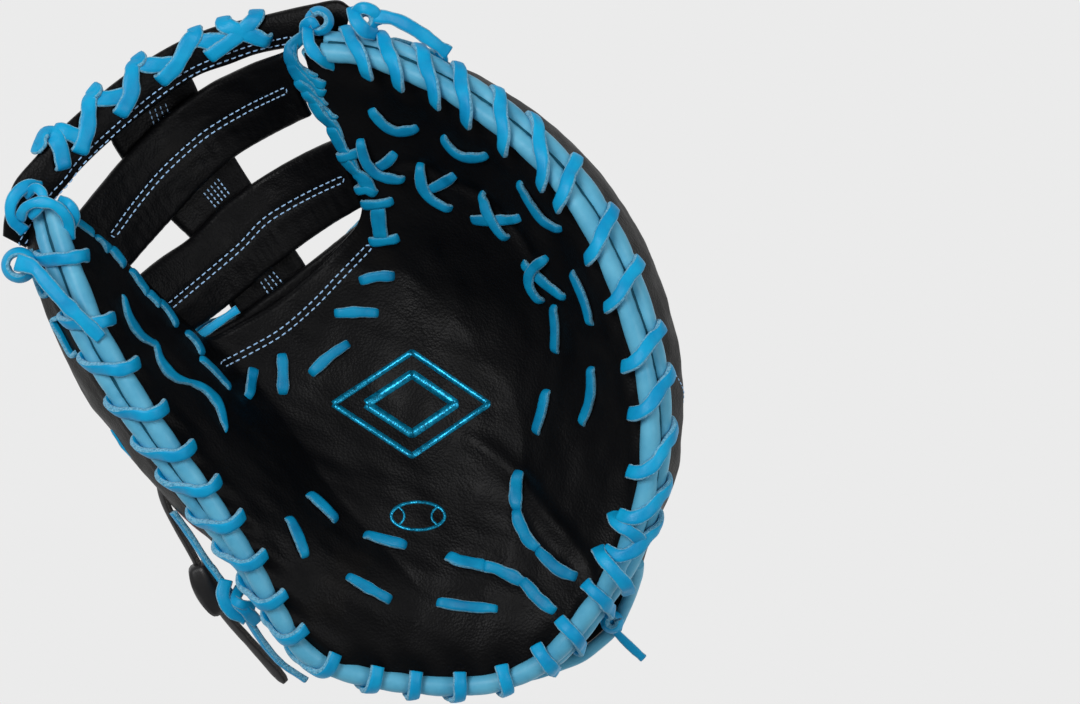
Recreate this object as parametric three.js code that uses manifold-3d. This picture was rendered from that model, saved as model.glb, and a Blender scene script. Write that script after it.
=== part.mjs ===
// A first baseman mitt, lying on its back with the palm up.
// Millimetres, +Z up, +Y from the heel to the web. The origin is under the middle of its box.
import * as THREE from "three";
import { mergeVertices } from "three/addons/utils/BufferGeometryUtils.js";
import Module from "manifold-3d";

const wasm = await Module();
wasm.setup();

// Driving dimensions
const ROLL_RADIUS = 4.1; // the rolled edges of palm and back
const ROLL_PITCH = 8.6; // between the two rolls, centre to centre
const CLEAR = 0.3; // air between neighbouring pieces
const SEAT = 1.5; // from a round edge to the wall that it sits on, which has flat facets
const LACE_WIDTH = 6.2;
const LACE_THICK = 2.4;
const LACE_HOLE_DEPTH = 9.3; // from the rolls' centres down to the lace holes
const BACK_WALL = 3.2;
const BAR_WALL = 3; // web bars and post, two layers of leather
const CREST_WIDTH = 20;
const CREST_THICK = 6.5;
const BINDING_RADIUS = 2.8; // the bound edges of the openings in the back
const FLOOR_DROP = 14.5; // how far the tables' zero lies above the surface that the mitt rests on
const LABEL_THICK = 1.2;
const PULL_STRAP_WIDTH = 6.5;

// The rim, half way between its two rolls, from the thumb's tip round the heel to the finger's tip.
// Columns: x, y, z
const RIM = [
  [-84.6, 121.5, 84],
  [-88.9, 103.5, 88],
  [-93.1, 60, 92],
  [-90.4, 16, 90],
  [-82.7, -41.6, 80],
  [-79.8, -85, 68],
  [-76.5, -104, 62],
  [-65.7, -119, 58],
  [-46.9, -135, 56],
  [-24.5, -149, 57],
  [-1.8, -157, 61],
  [19.2, -156.5, 67],
  [42.1, -147.5, 74],
  [61.6, -136.5, 81],
  [78.9, -123.3, 88],
  [94, -106, 94],
  [107.4, -83, 100],
  [117.5, -54, 104],
  [123.7, -10, 106],
  [121.5, 24, 105],
  [111, 56, 101.5],
  [95, 86, 97],
  [74, 112, 92],
  [47.3, 130.8, 86],
];
const THUMB_HEEL = 6; // rows of the table at the mitt's two lower corners
const FINGER_HEEL = 14;

// The palm's edge along the web, from the thumb's tip to the finger's tip.
// Columns: x, y, z
const WEB_EDGE = [
  [-84.6, 121.5, 84],
  [-77.5, 106, 74],
  [-70.5, 91, 64],
  [-65.5, 70, 51],
  [-61.5, 50, 39],
  [-54, 39, 31],
  [-35, 38, 27],
  [-17, 39, 25],
  [2, 43, 25],
  [19, 48, 28],
  [33, 54, 36],
  [41, 66, 47],
  [43.5, 88, 59],
  [44, 106, 69],
  [45, 119, 78],
  [47.3, 130.8, 86],
];

// How far the palm drops below a sheet stretched over its edges.
// Columns: share of the way from heel to web, drop at the middle
const POCKET = [
  [0, 0],
  [0.12, 2],
  [0.25, 10],
  [0.4, 21],
  [0.52, 26],
  [0.65, 25],
  [0.8, 20],
  [0.92, 9],
  [1, 0],
];

// Thickness from palm to back. Columns: share of the way from the thumb side to the finger side.
const ACROSS = [0, 0.05, 0.16, 0.3, 0.5, 0.7, 0.84, 0.95, 1];
// Rows: share of the way from heel to web, then one thickness for each column
const THICKNESS = [
  [0, [8.6, 11, 27, 38, 42, 40, 27, 11, 8.6]],
  [0.2, [8.6, 12, 31, 43, 47, 45, 33, 12, 8.6]],
  [0.4, [8.6, 12, 31, 36, 36, 38, 34, 13, 8.6]],
  [0.6, [8.6, 12, 30, 28, 22, 30, 34, 13, 8.6]],
  [0.8, [8.6, 12, 26, 20, 15, 22, 30, 13, 8.6]],
  [1, [8.6, 11, 15, 15, 15, 15, 15, 11, 8.6]],
];
// The palm's own wall, padded at the heel. The same columns and rows
const PADDING = [
  [0, [4, 5, 8.6, 8.6, 8.6, 8.6, 8.6, 5, 4]],
  [0.2, [4, 5, 11, 13, 12, 13, 11, 5, 4]],
  [0.5, [4, 5, 8, 8, 8, 8, 8, 5, 4]],
  [0.8, [4, 4.5, 6, 6, 6, 6, 6, 4.5, 4]],
  [1, [4, 4, 4, 4, 4, 4, 4, 4, 4]],
];

// How far the back's sides swell out past the rolls.
// Columns: share of the way across from the nearer side, share of the swell
const SWELL_ACROSS = [
  [0, 0],
  [0.03, 0.3],
  [0.05, 0.52],
  [0.1, 0.85],
  [0.2, 1],
  [0.3, 0.8],
  [0.4, 0.25],
  [0.47, 0],
];
// Columns: share of the way from heel to web, swell at the thumb side, swell at the finger side
const SWELL_ALONG = [
  [0, 4, 3],
  [0.1, 17, 11],
  [0.2, 28, 18],
  [0.35, 36, 23],
  [0.6, 38, 25],
  [1, 38, 22],
];

// Where the rim laces cross the rim, in millimetres along it from the thumb's tip, and how far
// each crossing runs on along the rim from its outer to its inner end.
const THUMB_LACE = { first: 14, count: 18, pitch: 20.3, slant: 13 };
const FINGER_LACE = { first: 687, count: 15, pitch: -20.6, slant: -14 };

// The middle line of the web's top band. Columns: x, y, z
const CREST = [
  [-92, 124, 90],
  [-84, 129, 88],
  [-70.5, 135, 83],
  [-51.5, 141.3, 76],
  [-27.9, 146.8, 68.5],
  [-6.4, 149.9, 63.5],
  [13.6, 148.7, 61],
  [32.4, 144.7, 62.5],
  [50.4, 139.2, 72],
  [62, 134.5, 86],
  [66, 131, 95],
];

// The web's bars. Columns: name, share of the web's height at the lower and upper edge,
// at the thumb end, in the middle and at the finger end
const BARS = [
  ["web_bar_top", [0.6, 0.97], [0.6, 0.9], [0.73, 1]],
  ["web_bar_middle", [0.1, 0.53], [0.17, 0.49], [0.185, 0.58]],
];
const POST = { middle: 0.445, halfTop: 0.135, halfBottom: 0.17 };
const BAR_CROWN = 1.5; // how far a bar's middle stands out from its edges
const BAR_END = 0.015; // share of the web's width that a bar stops short of each end
const BAR_WAY = 0.02; // share of the web's height that a bar's way is wider by, at each edge
const WEB_SAG = 17;
const WEB_CORNERS = { thumbSide: 0.34, thumbTip: 0.04, fingerSide: 0.67, fingerTip: 0.96, v: 0.97 };
// The line that the web's top hangs from, between its two corners. Columns: x, y, z
const WEB_TOP = [
  [-44, 139, 62],
  [1, 140, 53],
];
const CREST_TILT = 0.35; // how far the crest's face leans back
const LOW_BAR = { from: 0.335, to: 0.675, low: 0.83, high: 0.985 };

// The almond-shaped hand opening in the back, and the two patches: the middle and half the size of
// each, as shares across and along the mitt
const HAND_OPENING = { u: 0.52, v: 0.395, halfU: 0.15, halfV: 0.1 };
const WRIST_LABEL = { u: 0.49, v: 0.14, halfU: 0.12, halfV: 0.08 };
const THUMB_LABEL = { u: 0.19, v: 0.38, halfU: 0.036, halfV: 0.062 };
const SHARE_PER_MM = 1 / 150; // about how much of the mitt's width or length a millimetre is
const ABOVE_LEATHER = 2; // how far a cutter reaches out of the back
const OPENING_DEPTH = 15; // and how far the hand opening's cutter reaches in
const WEB_BINDING = { from: 0.03, to: 0.91 }; // shares of the back's upper edge
const STRAP_BINDING = { from: 0.14, to: 0.88, v: 0.004 };

// The seams that part the back's panels and the wrist strap. Columns of each: x, y
const SEAMS = [
  [[-10, 30], [-11, -20], [-6, -70]],
  [[-16, -92], [-36, -106], [-52, -130], [-64, -170]],
  [[70, -91], [95, -96], [140, -104]],
];

// The pull strap, which hangs from the thumb side of the back. Columns: x, y, z
const PULL_STRAP = [
  [-99, -7, 37],
  [-102, -16, 31],
  [-103, -30, 25],
  [-103, -46, 20],
  [-104, -60, 16],
  [-103, -74, 12],
  [-99, -92, 8],
  [-94, -113, 6],
];
const STRAP_FACE = [-0.75, 0, 0.66]; // the way that the strap's flat side looks

// The pull strap's bead. Columns: share of the way along the strap, radius
const BEAD = [
  [0.42, 5],
  [0.46, 7],
  [0.56, 7],
  [0.6, 5],
];

// Colours
const BLACK_LEATHER = { color: 0x141416, roughness: 0.5, metalness: 0 };
const BLUE_LACE = { color: 0x1ea5de, roughness: 0.5, metalness: 0 };
const BLUE_BINDING = { color: 0x69b9dc, roughness: 0.45, metalness: 0 };
const RED_PATCH = { color: 0xcd142d, roughness: 0.7, metalness: 0 };

const { lerp, clamp, smoothstep } = THREE.MathUtils;
const at = (x, y, z) => new THREE.Vector3(x, y, z);

// A way along a row of points, by arc length: 0 is its start and 1 its end.
function wayThrough(points) {
  const marks = [0];
  for (let i = 1; i < points.length; i++) marks.push(marks[i - 1] + points[i].distanceTo(points[i - 1]));
  const length = marks[marks.length - 1];
  const point = (share) => {
    const goal = clamp(share, 0, 1) * length;
    let i = 1;
    while (i < points.length - 1 && marks[i] < goal) i++;
    return points[i - 1].clone().lerp(points[i], (goal - marks[i - 1]) / (marks[i] - marks[i - 1]));
  };
  return { point, length };
}

function curveThrough(rows, from = 0, to = rows.length - 1) {
  const curve = new THREE.CatmullRomCurve3(rows.map((row) => at(...row)), false, "centripetal");
  const points = [];
  for (let i = 0; i <= 120; i++) points.push(curve.getPoint(lerp(from, to, i / 120) / (rows.length - 1)));
  return wayThrough(points);
}

// A smooth curve through a short table that never swings past its values.
function between(xs, ys, x) {
  const last = xs.length - 1;
  if (x <= xs[0]) return ys[0];
  if (x >= xs[last]) return ys[last];
  let i = 0;
  while (x > xs[i + 1]) i++;
  const slope = (k) => (ys[k + 1] - ys[k]) / (xs[k + 1] - xs[k]);
  const tangent = (k) => {
    if (k === 0) return slope(0);
    if (k === last) return slope(last - 1);
    const product = slope(k - 1) * slope(k);
    return product <= 0 ? 0 : (2 * product) / (slope(k - 1) + slope(k));
  };
  const span = xs[i + 1] - xs[i];
  const t = (x - xs[i]) / span;
  const rise = span * (tangent(i) * t * (1 - t) ** 2 - tangent(i + 1) * t * t * (1 - t));
  return lerp(ys[i], ys[i + 1], t * t * (3 - 2 * t)) + rise;
}

function fromTable(table, u, v) {
  return between(table.map((row) => row[0]), table.map((row) => between(ACROSS, row[1], u)), v);
}

// The middle surface between the rim's rolls: u runs from the thumb side to the finger side,
// v from the heel to the web.
const thumbSide = curveThrough(RIM, THUMB_HEEL, 0);
const heelSide = curveThrough(RIM, THUMB_HEEL, FINGER_HEEL);
const fingerSide = curveThrough(RIM, FINGER_HEEL, RIM.length - 1);
const webSide = curveThrough(WEB_EDGE);

function patch(left, right, bottom, top, u, v) {
  const corners = [left.point(0), right.point(0), left.point(1), right.point(1)];
  const weights = [(1 - u) * (1 - v), u * (1 - v), (1 - u) * v, u * v];
  const p = left.point(v).multiplyScalar(1 - u).addScaledVector(right.point(v), u);
  p.addScaledVector(bottom.point(u), 1 - v).addScaledVector(top.point(u), v);
  corners.forEach((corner, i) => p.addScaledVector(corner, -weights[i]));
  return p;
}

const pocketShares = POCKET.map((row) => row[0]);
const pocketDrops = POCKET.map((row) => row[1]);

function middle(u, v) {
  const p = patch(thumbSide, fingerSide, heelSide, webSide, u, v);
  p.z -= between(pocketShares, pocketDrops, v) * Math.sin(Math.PI * clamp(u, 0, 1)) ** 0.8;
  return p;
}

// The unit normal of the middle surface, facing out of the palm.
function outOfPalm(u, v) {
  const step = 0.05;
  const a = clamp(u, step, 1 - step);
  const b = clamp(v, step, 1 - step);
  const across = middle(a + step, b).sub(middle(a - step, b));
  const along = middle(a, b + step).sub(middle(a, b - step));
  return across.cross(along).normalize();
}

const thickness = (u, v) => fromTable(THICKNESS, u, v);

// A point of the mitt, by its depth below the palm's surface. What would reach below the surface
// that the mitt rests on is pressed flat on it, and keeps its thickness.
function inMitt(u, v, depth) {
  const p = middle(u, v).addScaledVector(outOfPalm(u, v), ROLL_PITCH / 2 - depth);
  p.z = Math.max(p.z - FLOOR_DROP, thickness(u, v) - depth, 0);
  return p;
}

const SWELL_LEAN = 0.16; // the share of the half width that shows which way is outwards

// The back's swell at a place, a level way outwards.
function swell(u, v) {
  const side = Math.round(u);
  const away = side ? 1 - u : u;
  const column = side ? 2 : 1;
  const size = between(SWELL_ALONG.map((row) => row[0]), SWELL_ALONG.map((row) => row[column]), v);
  const share = between(SWELL_ACROSS.map((row) => row[0]), SWELL_ACROSS.map((row) => row[1]), away);
  const out = middle(side, v).sub(middle(lerp(side, 0.5, SWELL_LEAN), v));
  return out.setZ(0).setLength(size * share);
}

// A point of the back, by how far it lies inside the back's outer face.
const inBack = (u, v, inside) => inMitt(u, v, thickness(u, v) - inside).add(swell(u, v));

const padding = (u, v) => Math.min(fromTable(PADDING, u, v), thickness(u, v) - BACK_WALL - 2 * CLEAR);

// The back's upper edge dips below the palm's, so that the web shows from behind.
const webOpening = (u) => 1 - 0.2 * smoothstep(u, 0.24, 0.42) * (1 - smoothstep(u, 0.58, 0.76));

// The share of the palm's width or length that a roll takes up, from an edge of it inwards.
function shareOfRoll(edge, place) {
  let low = 0;
  let high = 0.25;
  for (let i = 0; i < 14; i++) {
    const share = (low + high) / 2;
    if (place(share).distanceTo(edge) < ROLL_RADIUS + SEAT) low = share;
    else high = share;
  }
  return high;
}
const edgeAcross = (v) => shareOfRoll(middle(0, v), (share) => middle(share, v));
const edgeAcrossFar = (v) => shareOfRoll(middle(1, v), (share) => middle(1 - share, v));
const edgeAlong = (u) => shareOfRoll(middle(u, 0), (share) => middle(u, share));

// A closed body between two grids of points that share their edges' directions.
function shell(across, along, outer, inner) {
  const positions = [];
  const index = [];
  const row = across + 1;
  const layer = row * (along + 1);
  [outer, inner].forEach((surface) => {
    for (let j = 0; j <= along; j++) {
      for (let i = 0; i <= across; i++) positions.push(...surface(i / across, j / along).toArray());
    }
  });
  const quad = (a, b, c, d) => index.push(a, b, c, a, c, d);
  for (let j = 0; j < along; j++) {
    for (let i = 0; i < across; i++) {
      const k = j * row + i;
      quad(k, k + 1, k + row + 1, k + row);
      quad(layer + k, layer + k + row, layer + k + row + 1, layer + k + 1);
    }
  }
  const wall = (a, b) => quad(b, a, layer + a, layer + b);
  for (let i = 0; i < across; i++) {
    wall(i, i + 1);
    wall(along * row + i + 1, along * row + i);
  }
  for (let j = 0; j < along; j++) {
    wall((j + 1) * row, j * row);
    wall(j * row + across, (j + 1) * row + across);
  }
  return closed(positions, index);
}

function closed(positions, index) {
  const geometry = new THREE.BufferGeometry();
  geometry.setAttribute("position", new THREE.Float32BufferAttribute(positions, 3));
  geometry.setIndex(index);
  return geometry;
}

// A body swept along stations, each with a point and the section's two directions.
function sweep(section, stations, joined = false) {
  const positions = [];
  const index = [];
  const sides = section.length;
  const rings = stations.length;
  stations.forEach(({ p, a, b }) => {
    section.forEach(([x, y]) => {
      positions.push(...p.clone().addScaledVector(a, x).addScaledVector(b, y).toArray());
    });
  });
  const steps = joined ? rings : rings - 1;
  for (let j = 0; j < steps; j++) {
    for (let i = 0; i < sides; i++) {
      const k = j * sides;
      const next = ((j + 1) % rings) * sides;
      const other = (i + 1) % sides;
      index.push(k + i, k + other, next + other, k + i, next + other, next + i);
    }
  }
  if (!joined) {
    for (let i = 1; i < sides - 1; i++) {
      const end = (rings - 1) * sides;
      index.push(0, i + 1, i);
      index.push(end, end + i, end + i + 1);
    }
  }
  return closed(positions, index);
}

// Stations along points, whose sections stand square to the way and lean towards up(i).
function stationsAlong(points, up, joined = false) {
  const count = points.length;
  return points.map((p, i) => {
    const before = points[joined ? (i + count - 1) % count : Math.max(i - 1, 0)];
    const after = points[joined ? (i + 1) % count : Math.min(i + 1, count - 1)];
    const along = after.clone().sub(before).normalize();
    const b = up(i).clone().addScaledVector(along, -up(i).dot(along)).normalize();
    const a = b.clone().cross(along);
    return { p, a, b };
  });
}

function circle(radius, sides) {
  const turn = (i) => (2 * Math.PI * (i + 0.5)) / sides;
  return Array.from({ length: sides }, (_, i) => [radius * Math.cos(turn(i)), radius * Math.sin(turn(i))]);
}

// A flat band's section, with its corners taken off.
function band(width, thick) {
  const w = width / 2;
  const t = thick / 2;
  const c = thick / 3;
  return [
    [-w, -t + c],
    [-w + c, -t],
    [w - c, -t],
    [w, -t + c],
    [w, t - c],
    [w - c, t],
    [-w + c, t],
    [-w, t - c],
  ];
}

function strip(width, thick) {
  const w = width / 2;
  const t = thick / 2;
  return [[-w, -t], [w, -t], [w, t], [-w, t]];
}

function solid(geometry) {
  const merged = mergeVertices(geometry, 1e-4);
  return new wasm.Manifold(
    new wasm.Mesh({
      numProp: 3,
      vertProperties: new Float32Array(merged.attributes.position.array),
      triVerts: new Uint32Array(merged.index.array),
    }),
  );
}

function geometryOf(body) {
  const mesh = body.getMesh();
  return closed(Array.from(mesh.vertProperties), Array.from(mesh.triVerts));
}

// A plan outline carried straight up through the mitt.
function prism(outline, low = -5, high = 130) {
  const geometry = new THREE.ExtrudeGeometry(new THREE.Shape(outline), {
    depth: high - low,
    bevelEnabled: false,
  });
  geometry.deleteAttribute("normal");
  geometry.deleteAttribute("uv");
  geometry.translate(0, 0, low);
  return solid(geometry);
}

// The rim as the rolls and laces see it: its middle, the way out of the palm's edge, and the way
// from the palm roll to the back roll.
const rimLength = thumbSide.length + heelSide.length + fingerSide.length;

function rimUv(distance) {
  const d = clamp(distance, 0, rimLength);
  if (d < thumbSide.length) return [0, 1 - d / thumbSide.length];
  const onHeel = d - thumbSide.length;
  if (onHeel < heelSide.length) return [onHeel / heelSide.length, 0];
  return [1, (onHeel - heelSide.length) / fingerSide.length];
}

function rimAt(distance) {
  const p = middle(...rimUv(distance));
  p.z -= FLOOR_DROP;
  const near = middle(...rimUv(distance - 6));
  const far = middle(...rimUv(distance + 6));
  const along = far.sub(near).normalize();
  const normal = outOfPalm(...rimUv(distance - 8)).add(outOfPalm(...rimUv(distance + 8)));
  normal.addScaledVector(along, -normal.dot(along)).normalize();
  const toBack = normal.clone().negate();
  const up = along.clone().cross(normal);
  return { p, along, toBack, up };
}

function rimRoll(side, grow = 0) {
  const steps = 42;
  const start = 2;
  const end = rimLength - 9;
  const points = [];
  const ups = [];
  for (let i = 0; i <= steps; i++) {
    const here = rimAt(lerp(start, end, i / steps));
    points.push(here.p.addScaledVector(here.toBack, (side * ROLL_PITCH) / 2));
    ups.push(here.up);
  }
  return sweep(circle(ROLL_RADIUS + grow, 6), stationsAlong(points, (i) => ups[i]));
}

// One crossing of a rim lace, as seen along the rim. Columns: towards the back, up, share of slant
const CROSSING = [
  [9, -LACE_HOLE_DEPTH, -0.5],
  [10.8, -4.2, -0.42],
  [10.3, 2.2, -0.3],
  [6.4, 5.9, -0.15],
  [-6.4, 5.9, 0.15],
  [-10.3, 2.2, 0.3],
  [-10.4, -4.2, 0.42],
  [-8, -LACE_HOLE_DEPTH, 0.5],
];

const LACE_HEART = -2; // the middle of a crossing's loop, above or below the rolls' centres

// A place on crossing k of a rim lace, and the way out of the lace's loop there.
function onLace({ first, pitch, slant }, k, [back, up, share]) {
  const here = rimAt(first + k * pitch + share * slant);
  const p = here.p.clone().addScaledVector(here.toBack, back).addScaledVector(here.up, up);
  const out = here.toBack.clone().multiplyScalar(back).addScaledVector(here.up, up - LACE_HEART);
  return { p, out: out.normalize() };
}

function laceStations(lace) {
  const places = [];
  for (let k = 0; k < lace.count; k++) CROSSING.forEach((row) => places.push(onLace(lace, k, row)));
  return stationsAlong(places.map((place) => place.p), (i) => places[i].out);
}

const rimLace = (lace) => sweep(strip(LACE_WIDTH, LACE_THICK), laceStations(lace));

// The ways that a rim lace takes through the leather, from each crossing down to the next.
function laceHoles(lace) {
  const section = strip(LACE_WIDTH + 2 * CLEAR, LACE_THICK + 2 * CLEAR);
  const stations = laceStations(lace);
  const holes = [solid(sweep(section, stations.slice(0, 3))), solid(sweep(section, stations.slice(-3)))];
  for (let k = 1; k < lace.count; k++) {
    const start = k * CROSSING.length;
    holes.push(solid(sweep(section, stations.slice(start - 3, start + 3))));
  }
  return holes;
}

// The web hangs between the palm's two web edges and the crest, and sags like a scoop.
const LAYER = 5.9; // the bars' ends lie this deep, between the palm's wall and the back's
function webEdge(from, to) {
  return wayThrough(range(20, (s) => inMitt(lerp(from, to, s), WEB_CORNERS.v, LAYER)));
}
const webLeft = webEdge(WEB_CORNERS.thumbSide, WEB_CORNERS.thumbTip);
const webRight = webEdge(WEB_CORNERS.fingerSide, WEB_CORNERS.fingerTip);
const webBottom = webEdge(WEB_CORNERS.thumbSide, WEB_CORNERS.fingerSide);
const crestInner = curveThrough([webLeft.point(1).toArray(), ...WEB_TOP, webRight.point(1).toArray()]);

function range(count, make) {
  return Array.from({ length: count + 1 }, (_, i) => make(i / count));
}

function inWeb(s, t) {
  const p = patch(webLeft, webRight, webBottom, crestInner, s, t);
  p.z -= WEB_SAG * Math.sin(Math.PI * clamp(s, 0, 1)) ** 1.3 * Math.sin(0.5 * Math.PI * clamp(t * 1.15, 0, 1));
  return p;
}

function outOfWeb(s, t) {
  const step = 0.04;
  const a = clamp(s, step, 1 - step);
  const b = clamp(t, step, 1 - step);
  const across = inWeb(a + step, b).sub(inWeb(a - step, b));
  return across.cross(inWeb(a, b + step).sub(inWeb(a, b - step))).normalize();
}

function webBar([, thumbEnd, centre, fingerEnd], grow = 0) {
  const stops = [0, 0.5, 1];
  const low = (s) => between(stops, [thumbEnd[0], centre[0], fingerEnd[0]], s);
  const high = (s) => between(stops, [thumbEnd[1], centre[1], fingerEnd[1]], s);
  const surface = (side) => (i, j) => {
    const s = grow ? i : lerp(BAR_END, 1 - BAR_END, i);
    const spread = BAR_WAY * Math.sign(grow) * (2 * j - 1);
    const t = lerp(low(s), high(s), j) + spread;
    const crown = BAR_CROWN * Math.sin(Math.PI * j);
    return inWeb(s, t).addScaledVector(outOfWeb(s, t), side * (BAR_WALL / 2 + grow) + crown);
  };
  return shell(10, 3, surface(1), surface(-1));
}

// The lowest bar is the palm's own folded edge, seen through the web opening of the back.
function lowBar() {
  const surface = (extra) => (i, j) => {
    const u = lerp(LOW_BAR.from, LOW_BAR.to, i);
    const v = lerp(LOW_BAR.low, LOW_BAR.high, j);
    return inMitt(u, v, padding(u, v) + 3 * CLEAR + extra);
  };
  return shell(10, 3, surface(0), surface(BAR_WALL));
}

function webPost() {
  const depth = BAR_WALL + 5 * CLEAR;
  const surface = (extra) => (i, j) => {
    const t = lerp(0.03, 0.97, j);
    const s = POST.middle + lerp(POST.halfBottom, POST.halfTop, t) * (2 * i - 1);
    return inWeb(s, t).addScaledVector(outOfWeb(s, t), BAR_WALL / 2 - depth - extra);
  };
  return shell(2, 11, surface(0), surface(BAR_WALL));
}

function webCrest(grow) {
  const way = curveThrough(CREST);
  const points = range(15, (s) => way.point(s).setZ(way.point(s).z - FLOOR_DROP));
  const tilt = () => at(0, -CREST_TILT, 1);
  return sweep(band(CREST_WIDTH + 2 * grow, CREST_THICK + 2 * grow), stationsAlong(points, tilt));
}

// The back as one piece, before its openings and seams are cut.
function wholeBack() {
  const share = (i, j) => {
    const top = webOpening(i);
    const v = lerp(0.004, top, j);
    return [lerp(edgeAcross(v), 1 - edgeAcrossFar(v), i), v];
  };
  const surface = (inside) => (i, j) => {
    const [u, v] = share(i, j);
    return inBack(u, v, inside);
  };
  return shell(16, 11, surface(BACK_WALL), surface(0));
}

function palmShell() {
  const share = (i, j) => {
    const v = lerp(edgeAlong(i), 1, j);
    return [lerp(edgeAcross(v), 1 - edgeAcrossFar(v), i), v];
  };
  const surface = (deep) => (i, j) => {
    const [u, v] = share(i, j);
    return inMitt(u, v, deep ? padding(u, v) : 0);
  };
  return shell(15, 10, surface(false), surface(true));
}

// A thin cut along a line in plan.
function slit(points) {
  const line = points.map(([x, y]) => new THREE.Vector2(x, y));
  const left = [];
  const right = [];
  line.forEach((p, i) => {
    const before = line[Math.max(i - 1, 0)];
    const after = line[Math.min(i + 1, line.length - 1)];
    const across = after.clone().sub(before).normalize().rotateAround(new THREE.Vector2(), Math.PI / 2);
    left.push(p.clone().addScaledVector(across, CLEAR));
    right.unshift(p.clone().addScaledVector(across, -CLEAR));
  });
  return prism([...left, ...right]);
}

// A place on the hand opening's edge, or inside it by a share of its size.
function onHandOpening(turn, size = 1) {
  const { u, v, halfU, halfV } = HAND_OPENING;
  const a = 2 * Math.PI * turn;
  const pointed = 1 - 0.12 * Math.sin(a) ** 2;
  return [u + size * halfU * pointed * Math.cos(a), v + size * halfV * Math.sin(a)];
}

// The opening, as a plug that goes right through the back's wall.
function handOpeningCut() {
  const turns = 20;
  const positions = [];
  const index = [];
  [OPENING_DEPTH, -ABOVE_LEATHER].forEach((inside) => {
    for (let i = 0; i < turns; i++) {
      const [u, v] = onHandOpening(i / turns);
      const p = middle(u, v).addScaledVector(outOfPalm(u, v), ROLL_PITCH / 2 - thickness(u, v) + inside);
      p.add(swell(u, v));
      positions.push(p.x, p.y, p.z - FLOOR_DROP);
    }
  });
  for (let i = 0; i < turns; i++) {
    const next = (i + 1) % turns;
    index.push(i, turns + i, turns + next, i, turns + next, next);
  }
  [0, turns].forEach((start) => {
    const face = Array.from({ length: turns }, (_, i) => new THREE.Vector2(...onHandOpening(i / turns)));
    THREE.ShapeUtils.triangulateShape(face, []).forEach(([a, b, c]) => {
      index.push(...(start ? [start + a, start + c, start + b] : [a, b, c]));
    });
  });
  return solid(closed(positions, index));
}

// A bound edge's round body, clear of the leather's edge and never below the mitt's rest.
// place(share) gives the edge and a place a little way inside the leather.
function binding(steps, place, grow, joined = false) {
  const points = range(steps, (share) => {
    const [u, v, insideU, insideV] = place(share);
    const wall = (a, b) => inBack(a, b, BACK_WALL / 2);
    const [beforeU, beforeV] = place(Math.max(share - 0.02, 0));
    const [afterU, afterV] = place(Math.min(share + 0.02, 1));
    const along = wall(afterU, afterV).sub(wall(beforeU, beforeV)).normalize();
    const edge = wall(u, v);
    const out = edge.clone().sub(wall(insideU, insideV));
    out.addScaledVector(along, -out.dot(along)).normalize();
    const p = edge.addScaledVector(out, BINDING_RADIUS + SEAT);
    return p.setZ(Math.max(p.z, BINDING_RADIUS));
  });
  if (joined) points.pop();
  return sweep(circle(BINDING_RADIUS + grow, 6), stationsAlong(points, () => at(0, 0, 1), joined));
}

const handOpeningBinding = (grow) =>
  binding(20, (turn) => [...onHandOpening(turn), ...onHandOpening(turn, 1.15)], grow, true);

const webOpeningBinding = (grow) =>
  binding(
    27,
    (share) => {
      const top = webOpening(share);
      const along = lerp(WEB_BINDING.from, WEB_BINDING.to, share);
      const u = lerp(edgeAcross(top), 1 - edgeAcrossFar(top), along);
      return [u, webOpening(u), u, webOpening(u) - 0.02];
    },
    grow,
  );

function strapBinding(grow) {
  const { from, to, v } = STRAP_BINDING;
  return binding(14, (share) => [lerp(from, to, share), v, lerp(from, to, share), v + 0.026], grow);
}

// A patch let into the back's outer face, with square or round ends.
function label({ u, v, halfU, halfV }, round, grow) {
  const surface = (inside) => (i, j) => {
    const x = 2 * i - 1;
    const y = 2 * j - 1;
    const across = round ? x * Math.sqrt(1 - (y * y) / 2) : x;
    const along = round ? y * Math.sqrt(1 - (x * x) / 2) : y;
    const a = u + (halfU + grow * SHARE_PER_MM) * across;
    const b = v + (halfV + grow * SHARE_PER_MM) * along;
    return inBack(a, b, inside);
  };
  return shell(4, 3, surface(LABEL_THICK + grow), surface(grow ? -ABOVE_LEATHER : 0));
}

const strapPoints = () => PULL_STRAP.map((row) => at(...row));

function pullStrap(grow) {
  const section = strip(PULL_STRAP_WIDTH + 2 * grow, LACE_THICK + 2 * grow);
  return sweep(section, stationsAlong(strapPoints(), () => at(...STRAP_FACE)));
}

// The bead that the pull strap runs through.
function strapBead() {
  const way = wayThrough(strapPoints());
  const points = BEAD.map(([share]) => way.point(share));
  const stations = stationsAlong(points, () => at(0, 0, 1));
  const sides = 10;
  const rings = BEAD.map(([, radius]) => circle(radius, sides));
  const positions = [];
  stations.forEach(({ p, a, b }, i) => {
    rings[i].forEach(([x, y]) => positions.push(...p.clone().addScaledVector(a, x).addScaledVector(b, y).toArray()));
  });
  const { index } = sweep(rings[0], stations);
  return solid(closed(positions, Array.from(index.array))).subtract(solid(pullStrap(CLEAR)));
}

const parts = new THREE.Group();

function add(name, geometry, look) {
  const mesh = new THREE.Mesh(geometry, new THREE.MeshStandardMaterial(look));
  mesh.name = name;
  parts.add(mesh);
}

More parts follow.
